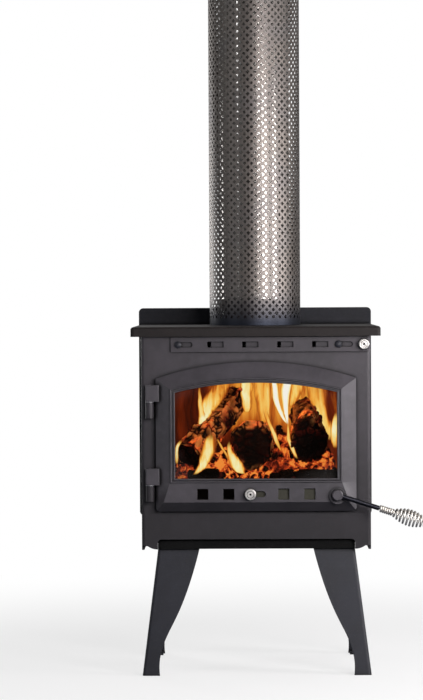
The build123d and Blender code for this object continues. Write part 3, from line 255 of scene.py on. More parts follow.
class Wire:
    """A socket of a finish, which sums and products in Python extend by Math nodes."""

    def __init__(self, finish, socket):
        self.finish = finish
        self.socket = socket

    def maths(self, operation, first, second=0.0, clamp=False):
        """Math node on two values."""
        settings = {"operation": operation, "use_clamp": clamp}
        return self.finish.node("Math", settings, {0: first, 1: second})

    def __add__(self, other):
        return self.maths("ADD", self, other)

    def __sub__(self, other):
        return self.maths("SUBTRACT", self, other)

    def __rsub__(self, other):
        return self.maths("SUBTRACT", other, self)

    def __mul__(self, other):
        return self.maths("MULTIPLY", self, other)

    __radd__, __rmul__ = __add__, __mul__

    def __abs__(self):
        return self.maths("ABSOLUTE", self)

    def sine(self):
        """Sine of the value in radians."""
        return self.maths("SINE", self)

    def clamped(self):
        """The value kept between 0 and 1."""
        return self.maths("ADD", self, 0.0, clamp=True)

    def between(self, low, high):
        """0 below low, 1 above high, and a smooth rise between them."""
        settings = {"interpolation_type": "SMOOTHSTEP"}
        return self.finish.node("MapRange", settings, {0: self, 1: low, 2: high})


class Finish:
    """One node material, or the world, put together from values, wires and nodes."""

    def __init__(self, name, kind="Material"):
        self.kind = kind
        self.owner = getattr(bpy.data, kind.lower() + "s").new(name)
        self.owner.use_nodes = True
        self.owner.node_tree.nodes.clear()

    def node(self, kind, settings=None, sockets=None, output=0):
        """Adds a shader node: its settings first, then the values or wires of its sockets; gives one output."""
        added = self.owner.node_tree.nodes.new("ShaderNode" + kind)
        for setting, value in (settings or {}).items():
            if setting == "stops":
                ramp = added.color_ramp
                ramp.elements.remove(ramp.elements[1])
                for count, (place, colour) in enumerate(value):
                    stop = ramp.elements.new(place) if count else ramp.elements[0]
                    stop.position = place
                    stop.color = (*colour, 1.0)
            else:
                setattr(added, setting, value)
        for socket, value in (sockets or {}).items():
            target = added.inputs[socket]
            if isinstance(value, Wire):
                self.owner.node_tree.links.new(value.socket, target)
            elif target.type == "RGBA":
                target.default_value = (*value, 1.0)
            else:
                target.default_value = value
        return None if output is None else Wire(self, added.outputs[output])

    def place(self, scale=(1.0, 1.0, 1.0), shift=(0.0, 0.0, 0.0)):
        """Object coordinates in metres, scaled and shifted."""
        spot = self.node("TexCoord", output="Object")
        return self.node("Mapping", None, {"Vector": spot, "Scale": scale, "Location": shift})

    def place_from(self, middle, half_wide, half_high):
        """Distance from a point of the heater's front, as a share of the way to an edge across and up."""
        scale = (1 / half_wide, 0.0, 1 / half_high)
        return self.reach(self.place(scale, (-middle.x / half_wide, 0.0, -middle.z / half_high)))

    def reach(self, vector):
        """Length of a vector."""
        return self.node("VectorMath", {"operation": "LENGTH"}, {0: vector}, output="Value")

    def axis(self, vector, name="Z"):
        """One part of a vector."""
        return self.node("SeparateXYZ", None, {"Vector": vector}, output=name)

    def noise(self, vector, scale, detail=2.0, roughness=0.5, distortion=0.0):
        """Noise of that many repeats to the metre."""
        sockets = {"Vector": vector, "Scale": scale, "Detail": detail, "Roughness": roughness}
        return self.node("TexNoise", None, sockets | {"Distortion": distortion})

    def attribute(self, name):
        """A value stored on the piece's points."""
        return self.node("Attribute", {"attribute_name": name}, output="Fac")

    def mix(self, factor, first, second, blend="MIX"):
        """Colour between two colours."""
        settings = {"data_type": "RGBA", "blend_type": blend}
        return self.node("Mix", settings, {0: factor, 6: first, 7: second}, output=2)

    def ramp(self, stops, value):
        """Colour at a value between the stops of a ramp."""
        return self.node("ValToRGB", {"stops": stops}, {"Fac": value})

    def bump(self, height, depth, normal=None):
        """Normal of a relief; height runs from 0 to 1 and depth is in metres."""
        sockets = {"Height": height, "Distance": depth, "Strength": 1.0}
        if normal:
            sockets["Normal"] = normal
        return self.node("Bump", None, sockets)

    def eased_edges(self, radius):
        """Normal of edges that are rounded, and a mask of those edges."""
        rounded = self.node("Bevel", {"samples": 4}, {"Radius": radius})
        flat = self.node("NewGeometry", output="True Normal")
        match = self.node("VectorMath", {"operation": "DOT_PRODUCT"}, {0: rounded, 1: flat}, output="Value")
        return rounded, (1 - match).between(0.02, 0.25)

    def blend(self, factor, first, second):
        """Shader between two shaders."""
        return self.node("MixShader", None, {0: factor, 1: first, 2: second})

    def principled(self, **sockets):
        """Principled shader; the sockets' names have _ for blanks."""
        named = {socket.replace("_", " "): value for socket, value in sockets.items()}
        return self.node("BsdfPrincipled", None, named)

    def close(self, shader):
        """Ends the finish in a shader; gives its material, or the world."""
        self.node("Output" + self.kind, None, {"Surface": shader}, output=None)
        return self.owner

    def surface(self, **sockets):
        """Ends the finish in a principled shader."""
        return self.close(self.principled(**sockets))


# ---- finishes ----
# The second value of a noise is how often it repeats to the metre. The two values of between, and the shares that
# tones and reliefs are mixed by, were set against the photograph


def toned(colour, share):
    """A colour made darker or paler by a share."""
    return [part * share for part in colour]


def paint_finish(
    name, colours, roughness=0.5, gleam=0.5, low_shade=1.0, slope_shade=1.0, grain_scale=420.0, grain_depth=0.1 * MM
):
    """Matt stove paint: sandy grain, faint clouds, painted shade in the nooks and edges rubbed lighter.

    Its colour sinks to a painted low shade near the legs and to a painted slope shade on faces that look up or down."""
    finish = Finish(name)
    colour, bare = getattr(colours, name), colours.bare
    spot = finish.place()
    rounded, edges = finish.eased_edges(1.1 * MM)
    clouds = finish.noise(spot, 9.0, detail=4.0, roughness=0.6)
    blotches = finish.noise(spot, 55.0, detail=3.0)
    grain = finish.noise(spot, grain_scale, detail=3.0, roughness=0.65)
    specks = finish.noise(spot, 900.0, detail=1.0).between(0.62, 0.8)
    tone = finish.mix(clouds.between(0.35, 0.7), toned(colour, 0.82), toned(colour, 1.2))
    tone = finish.mix(blotches.between(0.45, 0.75) * 0.35, tone, toned(colour, 1.45))
    tone = finish.mix(specks * 0.25, tone, bare)
    tone = finish.mix(edges * blotches.between(0.35, 0.6) * 0.3, tone, bare)
    slope = abs(finish.axis(finish.node("NewGeometry", output="True Normal"))).between(0.45, 0.8)
    # Painted shade: darker in nooks, grooves and along contact lines, where ambient occlusion finds them
    nook_shade = finish.node("AmbientOcclusion", {"samples": 6}, {"Distance": 10 * MM}, output="AO")
    # Painted shade: the colour darkens towards the legs and on faces that look up or down
    shade = low_shade + (1 - low_shade) * finish.axis(spot).between(SHADE_LOW, SHADE_HIGH)
    shade = shade * (1 - (1 - slope_shade) * slope) * (0.12 + 0.88 * nook_shade.between(0.45, 0.98))
    tone = finish.mix(1.0, tone, shade, "MULTIPLY")
    sheen = roughness + (clouds - 0.5) * 0.16 - edges * 0.1 + specks * 0.1 + (1 - shade) * 0.35
    relief = finish.bump(grain, grain_depth, rounded)
    return finish.surface(Base_Color=tone, Roughness=sheen.clamped(), Normal=relief, Specular_IOR_Level=gleam)


def metal_finish(name, colours, stretch, roughness, tint, foot=None, grain=0.03 * MM):
    """Bare metal, brushed along one direction: its streaks show in the colour, the gloss and a fine bump.

    The foot, if any, names a colour painted on the metal round the top plate, as a painted reflection."""
    finish = Finish(name)
    colour = getattr(colours, name)
    rounded, edges = finish.eased_edges(0.5 * MM)
    brushed = finish.noise(finish.place(stretch), 1.0, detail=4.0, roughness=0.7)
    clouds = finish.noise(finish.place(), 14.0, detail=3.0)
    tone = finish.mix(brushed.between(0.3, 0.7), toned(colour, 0.8), colour)
    tone = finish.mix(clouds.between(0.4, 0.75) * 0.5, tone, [part * share for part, share in zip(colour, tint)])
    if foot:
        # Painted reflection: the metal turns dark and bluish towards its foot
        height = finish.axis(finish.place()).between(GUARD_LOW.z, GUARD_LOW.z + FOOT_REFLECTION_HEIGHT)
        tone = finish.mix(height, getattr(colours, foot), tone)
    gloss = roughness + (brushed - 0.5) * 0.14 + (clouds - 0.5) * 0.1 - edges * 0.04
    relief = finish.bump(brushed, grain, rounded)
    return finish.surface(Base_Color=tone, Metallic=1.0, Roughness=gloss.clamped(), Normal=relief)


def knob_finish(node, colours):
    """Turned face of a knob: bright rings, and a groove and a screw hole in its middle painted dark as their shade.
    """
    finish = Finish(node)
    low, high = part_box(node)
    radius = (high.x - low.x) / 2
    reach = finish.place_from((low + high) / 2, radius, radius)
    hole = 1 - reach.between(0.16, 0.26)
    groove = reach.between(0.5, 0.58) * (1 - reach.between(0.64, 0.72))
    rings = finish.noise(finish.place(), 900.0) * 0.3 + (reach * 60.0).sine() * 0.5
    # Painted shade: the screw hole and the groove are painted near black
    tone = finish.mix((hole + groove * 0.7).clamped(), colours.stainless_tube, (0.02, 0.018, 0.017))
    relief = finish.bump(rings - groove * 2 - hole * 3, 0.06 * MM)
    return finish.surface(Base_Color=tone, Metallic=0.9, Roughness=0.42 - rings * 0.1, Normal=relief)


def brick_finish(name, colours):
    """Sandy firebrick, sooted in clouds and streaks, with pores and rubbed edges."""
    finish = Finish(name)
    spot = finish.place()
    rounded, edges = finish.eased_edges(2.0 * MM)
    sand = finish.noise(spot, 700.0, detail=3.0, roughness=0.7)
    pores = finish.noise(spot, 170.0, detail=2.0).between(0.6, 0.72)
    clouds = finish.noise(spot, 11.0, detail=5.0, roughness=0.65, distortion=0.6)
    streaks = finish.noise(finish.place((60.0, 60.0, 9.0)), 1.0, detail=3.0)
    tone = finish.mix(sand.between(0.3, 0.7), toned(colours.brick, 0.8), colours.brick)
    tone = finish.mix(edges * 0.4, tone, (0.75, 0.66, 0.52))
    smoke = (clouds * 0.7 + streaks * 0.5).between(0.36, 0.72)
    tone = finish.mix(0.35 + 0.6 * smoke, tone, colours.soot)
    tone = finish.mix(pores * 0.7, tone, colours.soot)
    relief = finish.bump(sand * 0.4 - pores, 0.5 * MM, rounded)
    return finish.surface(Base_Color=tone, Roughness=0.92, Normal=relief)


def glass_finish(name, colours):
    """Heat-proof glass: clear, glossy, and hazed with smoke towards its edges and corners."""
    finish = Finish(name)
    half = (GLASS_HIGH - GLASS_LOW) / 2
    reach = finish.place_from((GLASS_LOW + GLASS_HIGH) / 2, half.x, half.z)
    clouds = finish.noise(finish.place(), 16.0, detail=4.0, roughness=0.6)
    haze = (reach + (clouds - 0.5) * 0.5).between(0.95, 1.5) * 0.4
    gloss = finish.node("Fresnel", None, {"IOR": 1.45})
    clear = finish.node("BsdfTransparent", None, {"Color": (0.97, 0.95, 0.92)})
    pane = finish.principled(Base_Color=colours.soot, Roughness=0.04 + clouds * 0.06)
    veil = finish.principled(Base_Color=colours.soot, Roughness=0.6)
    return finish.close(finish.blend(gloss * 0.8, finish.blend(haze, clear, veil), pane))


def rope_finish(name, colours):
    """Woven glass yarn: pale crowns, hollows darker from the relief attribute, patches of dirt and fine threads."""
    finish = Finish(name)
    spot = finish.place()
    threads = finish.noise(spot, 1600.0, detail=2.0)
    dirt = finish.noise(spot, 35.0, detail=3.0)
    crown = finish.attribute("relief")
    # The hollows between the strands are darker than the crowns
    tone = finish.mix(crown.between(0.1, 0.8), toned(colours.rope, 0.35), colours.rope)
    tone = finish.mix(dirt.between(0.45, 0.7) * 0.5, tone, (0.16, 0.14, 0.12))
    return finish.surface(Base_Color=tone, Roughness=0.9, Normal=finish.bump(threads, 0.25 * MM))


def glowing(finish, tone, roughness, relief, colours, seethe, strength):
    """Ends a finish in charred fuel that glows in the colours of embers."""
    return finish.surface(
        Base_Color=tone,
        Roughness=roughness,
        Specular_IOR_Level=0.04,
        Normal=relief,
        Emission_Color=finish.ramp(colours.glow_stops(), seethe.clamped()),
        Emission_Strength=strength,
    )


def log_finish(name, colours):
    """Burning wood: dark plates with scorched crowns that glow dully and carry painted highlights on their grit, and
    cracks with fire in some of them.
    """
    finish = Finish(name)
    spot = finish.place()
    crack = finish.attribute("crack")
    heat = finish.attribute("warmth")
    clouds = finish.noise(spot, 30.0, detail=4.0, roughness=0.6)
    grit = finish.noise(spot, 420.0, detail=4.0, roughness=0.7)
    scorched = heat.between(0.22, 0.66)
    tone = finish.mix(clouds.between(0.2, 0.6) * scorched, colours.char, colours.bark)
    # Painted highlight: pale orange-brown on the grit of the scorched plates
    tone = finish.mix(grit.between(0.5, 0.8) * scorched * 0.6, tone, (0.6, 0.31, 0.11))
    tone = finish.mix(crack, tone, colours.char)
    deep = crack * (heat * 0.8 + (clouds - 0.5) * 3.4 - 0.72).clamped()
    rims = crack * (1 - crack) * (clouds.between(0.4, 0.65) * heat * 3.0)
    plates = (heat * 0.4 + 0.03) * (clouds * 1.1 + grit * 0.5 - 0.55) * (1 - crack)
    return glowing(finish, tone, 0.85, finish.bump(grit, 0.8 * MM), colours, deep * 0.9 + rims + plates, 1.0)


def ember_finish(name, colours):
    """Embers: glowing hollows, red lumps and a dusting of pale ash on what stands up."""
    finish = Finish(name)
    spot = finish.place()
    hollow = finish.attribute("hollow")
    heat = finish.attribute("warmth")
    clouds = finish.noise(spot, 38.0, detail=4.0, roughness=0.6)
    grit = finish.noise(spot, 380.0, detail=4.0, roughness=0.7)
    tone = finish.mix(grit.between(0.45, 0.75) * heat * 0.12, colours.char, colours.bark)
    dusted = clouds.between(0.55, 0.72) * grit.between(0.4, 0.6) * (1 - hollow)
    tone = finish.mix(dusted * heat * 0.12, tone, colours.ash)
    patches = finish.noise(spot, 60.0, detail=3.0, distortion=0.5).between(0.36, 0.62)
    seethe = (hollow * 0.9 + patches * 0.9 + (clouds - 0.5) * 2.6 + (grit - 0.5) * 2.0 - 0.5) * (heat * 1.25)
    return glowing(finish, tone, 0.9, finish.bump(grit, 1.0 * MM), colours, seethe, 0.9)


def flame_finish(name, colours, wisp_scale, fullness):
    """Flame: hot along its middle, thin and deep orange at its rims, with wisps that run upwards."""
    finish = Finish(name)
    side = finish.attribute("side")
    heat = finish.attribute("warmth")
    veil = finish.attribute("veil")
    wisps = finish.noise(finish.place(wisp_scale), 1.0, detail=3.0, roughness=0.55, distortion=0.8)
    body = ((1 - side * side) * fullness + (wisps - 0.5) * 1.1).clamped()
    core = (heat * (0.16 + body * 0.66) + (wisps - 0.5) * 0.45).clamped()
    return finish.surface(
        Base_Color=BLACK,
        Roughness=1.0,
        Specular_IOR_Level=0.0,
        Emission_Color=finish.ramp(colours.flame_stops(), core),
        Emission_Strength=1.0,
        Alpha=(veil * body.between(0.0, 0.6)).clamped(),
    )


# ---- modelling helpers ----


def clear_selection():
    """Leaves edit mode and deselects everything."""
    if bpy.context.object and bpy.context.object.mode != "OBJECT":
        bpy.ops.object.mode_set(mode="OBJECT")
    bpy.ops.object.select_all(action="DESELECT")


def work_on(piece, edit=False):
    """Makes a piece the only selected one and the active one, in edit mode if asked."""
    clear_selection()
    piece.select_set(True)
    bpy.context.view_layer.objects.active = piece
    if edit:
        bpy.ops.object.mode_set(mode="EDIT")
        bpy.ops.mesh.select_mode(type="VERT")
        bpy.ops.mesh.select_all(action="SELECT")


def pick(piece, kind, test):
    """In edit mode, selects the piece's verts or edges that pass the test, and nothing else."""
    bpy.ops.mesh.select_all(action="DESELECT")
    mesh = bmesh.from_edit_mesh(piece.data)
    for part in list(getattr(mesh, kind)):
        if test(part):
            part.select_set(True)
    bmesh.update_edit_mesh(piece.data)


def mend(piece, gap=0.0):
    """Merges points of a piece that lie within a gap, if one is given, and turns its faces outwards."""
    work_on(piece, edit=True)
    if gap:
        bpy.ops.mesh.remove_doubles(threshold=gap)
    bpy.ops.mesh.normals_make_consistent(inside=False)
    bpy.ops.object.mode_set(mode="OBJECT")


def remesh(piece, size):
    """Gives a piece even faces of a size, and gives its points, each with where it lies and its normal."""
    piece.data.remesh_voxel_size = size
    bpy.ops.object.voxel_remesh()
    return [(vertex, vertex.co.copy(), vertex.normal.copy()) for vertex in piece.data.vertices]


def apply_modifier(piece, kind, **settings):
    """Adds a modifier to the active piece and applies it."""
    modifier = piece.modifiers.new(kind.title(), kind)
    for setting, value in settings.items():
        setattr(modifier, setting, value)
    bpy.ops.object.modifier_apply(modifier=modifier.name)


def bake_place():
    """Puts the active piece's place, turn and size into its mesh."""
    bpy.ops.object.transform_apply(location=True, rotation=True, scale=True)


def primitive(kind, **settings):
    """New primitive, the active piece, with its place in its mesh."""
    clear_selection()
    getattr(bpy.ops.mesh, f"primitive_{kind}_add")(**settings)
    bake_place()
    return bpy.context.object


def settle(piece, name, rides_with, finish, replaced=()):
    """Names a finished piece, gives it its finish, puts it on the body that a node rides on and hides the nodes that
    it replaces.
    """
    work_on(piece)
    bake_place()
    piece.name = name
    piece.data.name = name
    piece.data.materials.clear()
    piece.data.materials.append(bpy.data.materials[finish])
    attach(piece, body_of(rides_with))
    if replaced:
        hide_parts(*replaced)
    clear_selection()


def link_piece(name, data):
    """New piece in the scene, the active one."""
    piece = bpy.data.objects.new(name, data)
    bpy.context.scene.collection.objects.link(piece)
    work_on(piece)
    return piece


def copy_of_node(node):
    """Free copy of a CAD node, its doubles merged."""
    piece = link_piece(node + "_copy", frame["nodes"][node].data.copy())
    work_on(piece, edit=True)
    bpy.ops.mesh.remove_doubles(threshold=SAME_POINT)
    bpy.ops.object.mode_set(mode="OBJECT")
    return piece


def grid_piece(name, rows, closed=False):
    """Piece with faces between rows of points; a closed one runs back into its first row and its first column."""
    columns = len(rows[0])
    faces = [
        [(row + up) % len(rows) * columns + (column + on) % columns for up, on in ((0, 0), (0, 1), (1, 1), (1, 0))]
        for row in range(len(rows) if closed else len(rows) - 1)
        for column in range(columns if closed else columns - 1)
    ]
    mesh = bpy.data.meshes.new(name)
    mesh.from_pydata([point for row in rows for point in row], [], faces)
    piece = link_piece(name, mesh)
    bpy.ops.object.shade_smooth()
    return piece


def store(piece, **layers):
    """Keeps numbers for each point of a piece, for its finish."""
    for name, values in layers.items():
        layer = piece.data.attributes.new(name, "FLOAT", "POINT")
        layer.data.foreach_set("value", values)


def kept_between(value, low=0.0, high=1.0):
    """A value, or the limit that it lies beyond."""
    return min(max(value, low), high)


def smooth_step(low, high, value):
    """0 below low, 1 above high, and a smooth rise between them."""
    share = kept_between((value - low) / (high - low))
    return share * share * (3 - 2 * share)


def body_of(node):
    """Body that a CAD node rides on."""
    for body, nodes in frame["record"]["behaviour"]["bodies"].items():
        if node in nodes:
            return body
    raise ValueError(f"{node} rides on no body")


# ---- pieces ----
# A spot times a number, inside a noise, gives that many lumps to the metre


class HEATER_OT_finishes(Operator):
    """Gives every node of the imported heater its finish"""

    bl_idname = "heater.finishes"
    bl_label = "Finishes of the plates and fittings"

    # How often the streaks of a metal repeat across, in depth and up, to the metre
    UPRIGHT = (700.0, 700.0, 14.0)
    EVEN = (260.0, 260.0, 260.0)
    ALONG = (30.0, 900.0, 900.0)

    # low_shade and slope_shade are painted shade, darker low down and on slopes
    PAINTS = {
        "stove_paint": dict(low_shade=0.4),
        "cast_paint": dict(roughness=0.46, slope_shade=0.25, grain_scale=300.0, grain_depth=0.16 * MM),
        "baked_paint": dict(roughness=0.6, gleam=0.25),
        "leg_paint": dict(gleam=0.4),
        "shield_paint": dict(roughness=0.55, gleam=0.2),
        "shaded_paint": dict(roughness=0.7, gleam=0.1),
    }
    METALS = {
        "zinc_steel": dict(stretch=EVEN, roughness=0.36, tint=(0.8, 0.82, 0.86)),
        "sooted_steel": dict(stretch=EVEN, roughness=0.55, tint=(0.8, 0.85, 0.75)),
        "blackened_steel": dict(stretch=EVEN, roughness=0.42, tint=(0.9, 0.9, 1.0)),
        "stainless_tube": dict(stretch=UPRIGHT, roughness=0.22, tint=(0.86, 0.82, 0.78), grain=0.008 * MM),
        "guard_sheet": dict(stretch=UPRIGHT, roughness=0.5, tint=(0.8, 0.85, 0.95), foot="guard_foot"),
        "spring_wire": dict(stretch=ALONG, roughness=0.5, tint=(0.95, 0.92, 0.88), grain=0.002 * MM),
    }
    OF_SLOTS = {
        "black_paint": "stove_paint", "cast_door": "cast_paint", "steel": "zinc_steel", "stainless": "stainless_tube",
        "firebrick": "sooty_brick", "stove_glass": "hazed_glass", "rope": "glass_rope",
        "burning_wood": "charred_wood", "embers": "glowing_embers",
    }

    # Nodes whose finish isn't that of their slot
    OF_NODES = {
        "cast_paint": ("handle_spindle",),
        "sooted_steel": ("door_air_slider",),
        # The top plate takes a darker, browner copy of the stove paint
        "baked_paint": ("top_plate",),
        # Painted shade under the firebox, and soot on the log retainer
        "shaded_paint": ("base_plate", "base_skirt", "log_retainer"),
        # The rear heat shield takes a copy of the stove paint darkened as painted shade
        "shield_paint": ("rear_heat_shield",),
        # Legs and bolts take a copy of the stove paint darkened as painted shade and tinted blue as a painted
        # reflection
        "leg_paint": ("leg_front_left", "leg_front_right", "leg_rear_left", "leg_rear_right", "strip_guide_bolts"),
        "blackened_steel": ("handle_rod",),
        "door_air_knob": ("door_air_knob",),
        "top_air_knob": ("top_air_knob",),
        "spring_wire": ("spring_grip",),
    }

    def execute(self, context):
        colours = context.scene.heater_colours
        for name, look in self.PAINTS.items():
            paint_finish(name, colours, **look)
        for name, look in self.METALS.items():
            metal_finish(name, colours, **look)
        knob_finish("door_air_knob", colours)
        knob_finish("top_air_knob", colours)
        brick_finish("sooty_brick", colours)
        glass_finish("hazed_glass", colours)
        rope_finish("glass_rope", colours)
        log_finish("charred_wood", colours)
        ember_finish("glowing_embers", colours)
        flame_finish("flame", colours, (95.0, 60.0, 15.0), 1.15)
        flame_finish("far_flame", colours, (48.0, 30.0, 9.0), 1.0)
        own = {node: finish for finish, nodes in self.OF_NODES.items() for node in nodes}
        for part in frame["record"]["subparts"]:
            materials = frame["nodes"][part["node"]].data.materials
            finish = own.get(part["node"], self.OF_SLOTS[part["material_slot"]])
            for place in range(len(materials)):
                materials[place] = bpy.data.materials[finish]
        return {"FINISHED"}


class HEATER_OT_guard(Operator):
    """Perforated guard round the flue: rows of round holes with four-pointed star holes between them"""

    bl_idname = "heater.guard"
    bl_label = "Perforated flue guard"

    HOLE_SIDES = 12

    def execute(self, context):
        sizes = context.scene.heater_guard
        turn = math.tau / sizes.holes_round
        half_wide = GUARD_RADIUS * math.sin(turn / 2)
        half_high = sizes.row_pitch / 2
        half_bridge = sizes.bridge / 2
        row = GUARD_LOW.z + sizes.foot_band
        middle = Vector((0.0, -GUARD_RADIUS * math.cos(turn / 2), row))
        half_side = math.pi / self.HOLE_SIDES
        upright = (math.pi / 2, half_side, 0)
        sides, radius = self.HOLE_SIDES, sizes.hole_radius
        guard = primitive("circle", vertices=sides, radius=radius, location=middle, rotation=upright)

        # The hole's rim is drawn out to the outline that the star holes leave: its points at the sides, at the top
        # and foot, and on the diagonals, each with a share across and a share up
        work_on(guard, edit=True)
        bpy.ops.mesh.extrude_edges_move()
        near, far = radius * math.sin(half_side), radius * math.cos(half_side)
        diagonal, waist = radius * math.sqrt(0.5), sizes.star_waist
        outline = (
            (lambda wide, high: wide > 1.5 * high, half_wide / far, half_bridge / near),
            (lambda wide, high: high > 1.5 * wide, half_bridge / near, half_high / far),
            (lambda wide, high: True, (half_wide - waist) / diagonal, (half_high - waist) / diagonal),
        )
        left = {vert.index for vert in bmesh.from_edit_mesh(guard.data).verts if vert.select}
        for test, wide_share, high_share in outline:
            group = {
                vert.index
                for vert in bmesh.from_edit_mesh(guard.data).verts
                if vert.index in left and test(abs(vert.co.x), abs(vert.co.z - row))
            }
            left -= group
            pick(guard, "verts", lambda vert: vert.index in group)
            bpy.ops.transform.resize(value=(wide_share, 1.0, high_share), center_override=middle)

        # Rows up the guard, then a plain band along its foot and its head
        bpy.ops.object.mode_set(mode="OBJECT")
        apply_modifier(
            guard, "ARRAY", count=sizes.hole_rows, use_merge_vertices=True, merge_threshold=0.01 * MM,
            use_relative_offset=False, use_constant_offset=True, constant_offset_displace=(0.0, 0.0, sizes.row_pitch),
        )
        last = row + (sizes.hole_rows - 1) * sizes.row_pitch
        for edge_of_band, end_row, way in ((GUARD_LOW.z, row, -1), (GUARD_HIGH.z, last, 1)):

            def outer(vert):
                rim = math.hypot(vert.co.x, vert.co.z - end_row) < radius * 1.1
                return (vert.co.z - end_row) * way > half_bridge * 0.98 and not rim

            work_on(guard, edit=True)
            pick(guard, "edges", lambda edge: edge.is_boundary and outer(edge.verts[0]) and outer(edge.verts[1]))
            bpy.ops.mesh.extrude_edges_move()
            bpy.ops.transform.resize(value=(1.0, 1.0, 0.0), center_override=(0.0, 0.0, edge_of_band))

        # Columns round the guard, rounded to its radius
        bpy.ops.mesh.select_all(action="SELECT")
        columns = sizes.holes_round - 1
        bpy.ops.mesh.spin(steps=columns, dupli=True, angle=turn * columns, center=(0, 0, 0), axis=UP)
        mend(guard, 0.02 * MM)
        apply_modifier(
            guard, "CAST", cast_type="CYLINDER", use_z=False, factor=1.0, size=GUARD_RADIUS, use_radius_as_size=False
        )
        work_on(guard, edit=True)
        if sum(face.normal.dot(face.calc_center_median()) for face in bmesh.from_edit_mesh(guard.data).faces) < 0:
            bpy.ops.mesh.flip_normals()
        bpy.ops.transform.rotate(value=sizes.phase, orient_axis="Z", center_override=(0.0, 0.0, 0.0))
        bpy.ops.transform.translate(value=(FLUE_AXIS.x, FLUE_AXIS.y, 0.0))
        bpy.ops.object.mode_set(mode="OBJECT")
        apply_modifier(guard, "SOLIDIFY", thickness=sizes.wall, offset=-1.0, use_even_offset=True)
        bpy.ops.object.shade_smooth_by_angle(angle=math.radians(25))
        settle(guard, "perforated_guard", "flue_guard", "guard_sheet", ["flue_guard"])
        return {"FINISHED"}


class HEATER_OT_grip(Operator):
    """Coil grip: wire wound closely along its neck, then in open coils that swell and narrow again"""

    bl_idname = "heater.grip"
    bl_label = "Coil grip"

    # Where the coil starts, beyond the end of the handle's rod, and how far its axis droops, in mm and degrees
    START = (258.3, -199.65, 351.5)
    DROOP = 17.8

    def execute(self, context):
        sizes = context.scene.heater_grip
        droop = math.radians(self.DROOP)
        along = Vector((math.cos(droop), 0.0, -math.sin(droop)))
        upward = Vector((math.sin(droop), 0.0, math.cos(droop)))
        bulge = sizes.open_turns * sizes.open_pitch
        path = []
        for step in range((sizes.close_turns + sizes.open_turns) * sizes.turn_steps + 1):
            turns = step / sizes.turn_steps
            opened = max(turns - sizes.close_turns, 0.0)
            reach = (turns - opened) * sizes.close_pitch + opened * sizes.open_pitch
            radius = sizes.neck + sizes.swell * math.sin(math.pi * opened * sizes.open_pitch / bulge)
            turn = math.tau * turns
            out = upward * math.cos(turn) - BACK * math.sin(turn)
            path.append(Vector(self.START) * MM + along * reach + out * radius)
        wire = bpy.data.curves.new("grip_wire", "CURVE")
        wire.dimensions = "3D"
        wire.bevel_depth = sizes.wire
        wire.bevel_resolution = 2
        wire.use_fill_caps = True
        line = wire.splines.new("POLY")
        line.points.add(len(path) - 1)
        for point, spot in zip(line.points, path):
            point.co = (*spot, 1.0)
        link_piece("grip_wire", wire)
        bpy.ops.object.convert(target="MESH")
        grip = context.object
        mend(grip, 0.01 * MM)
        bpy.ops.object.shade_smooth_by_angle(angle=math.radians(50))
        settle(grip, "coil_grip", "spring_grip", "spring_wire", ["spring_grip"])
        return {"FINISHED"}


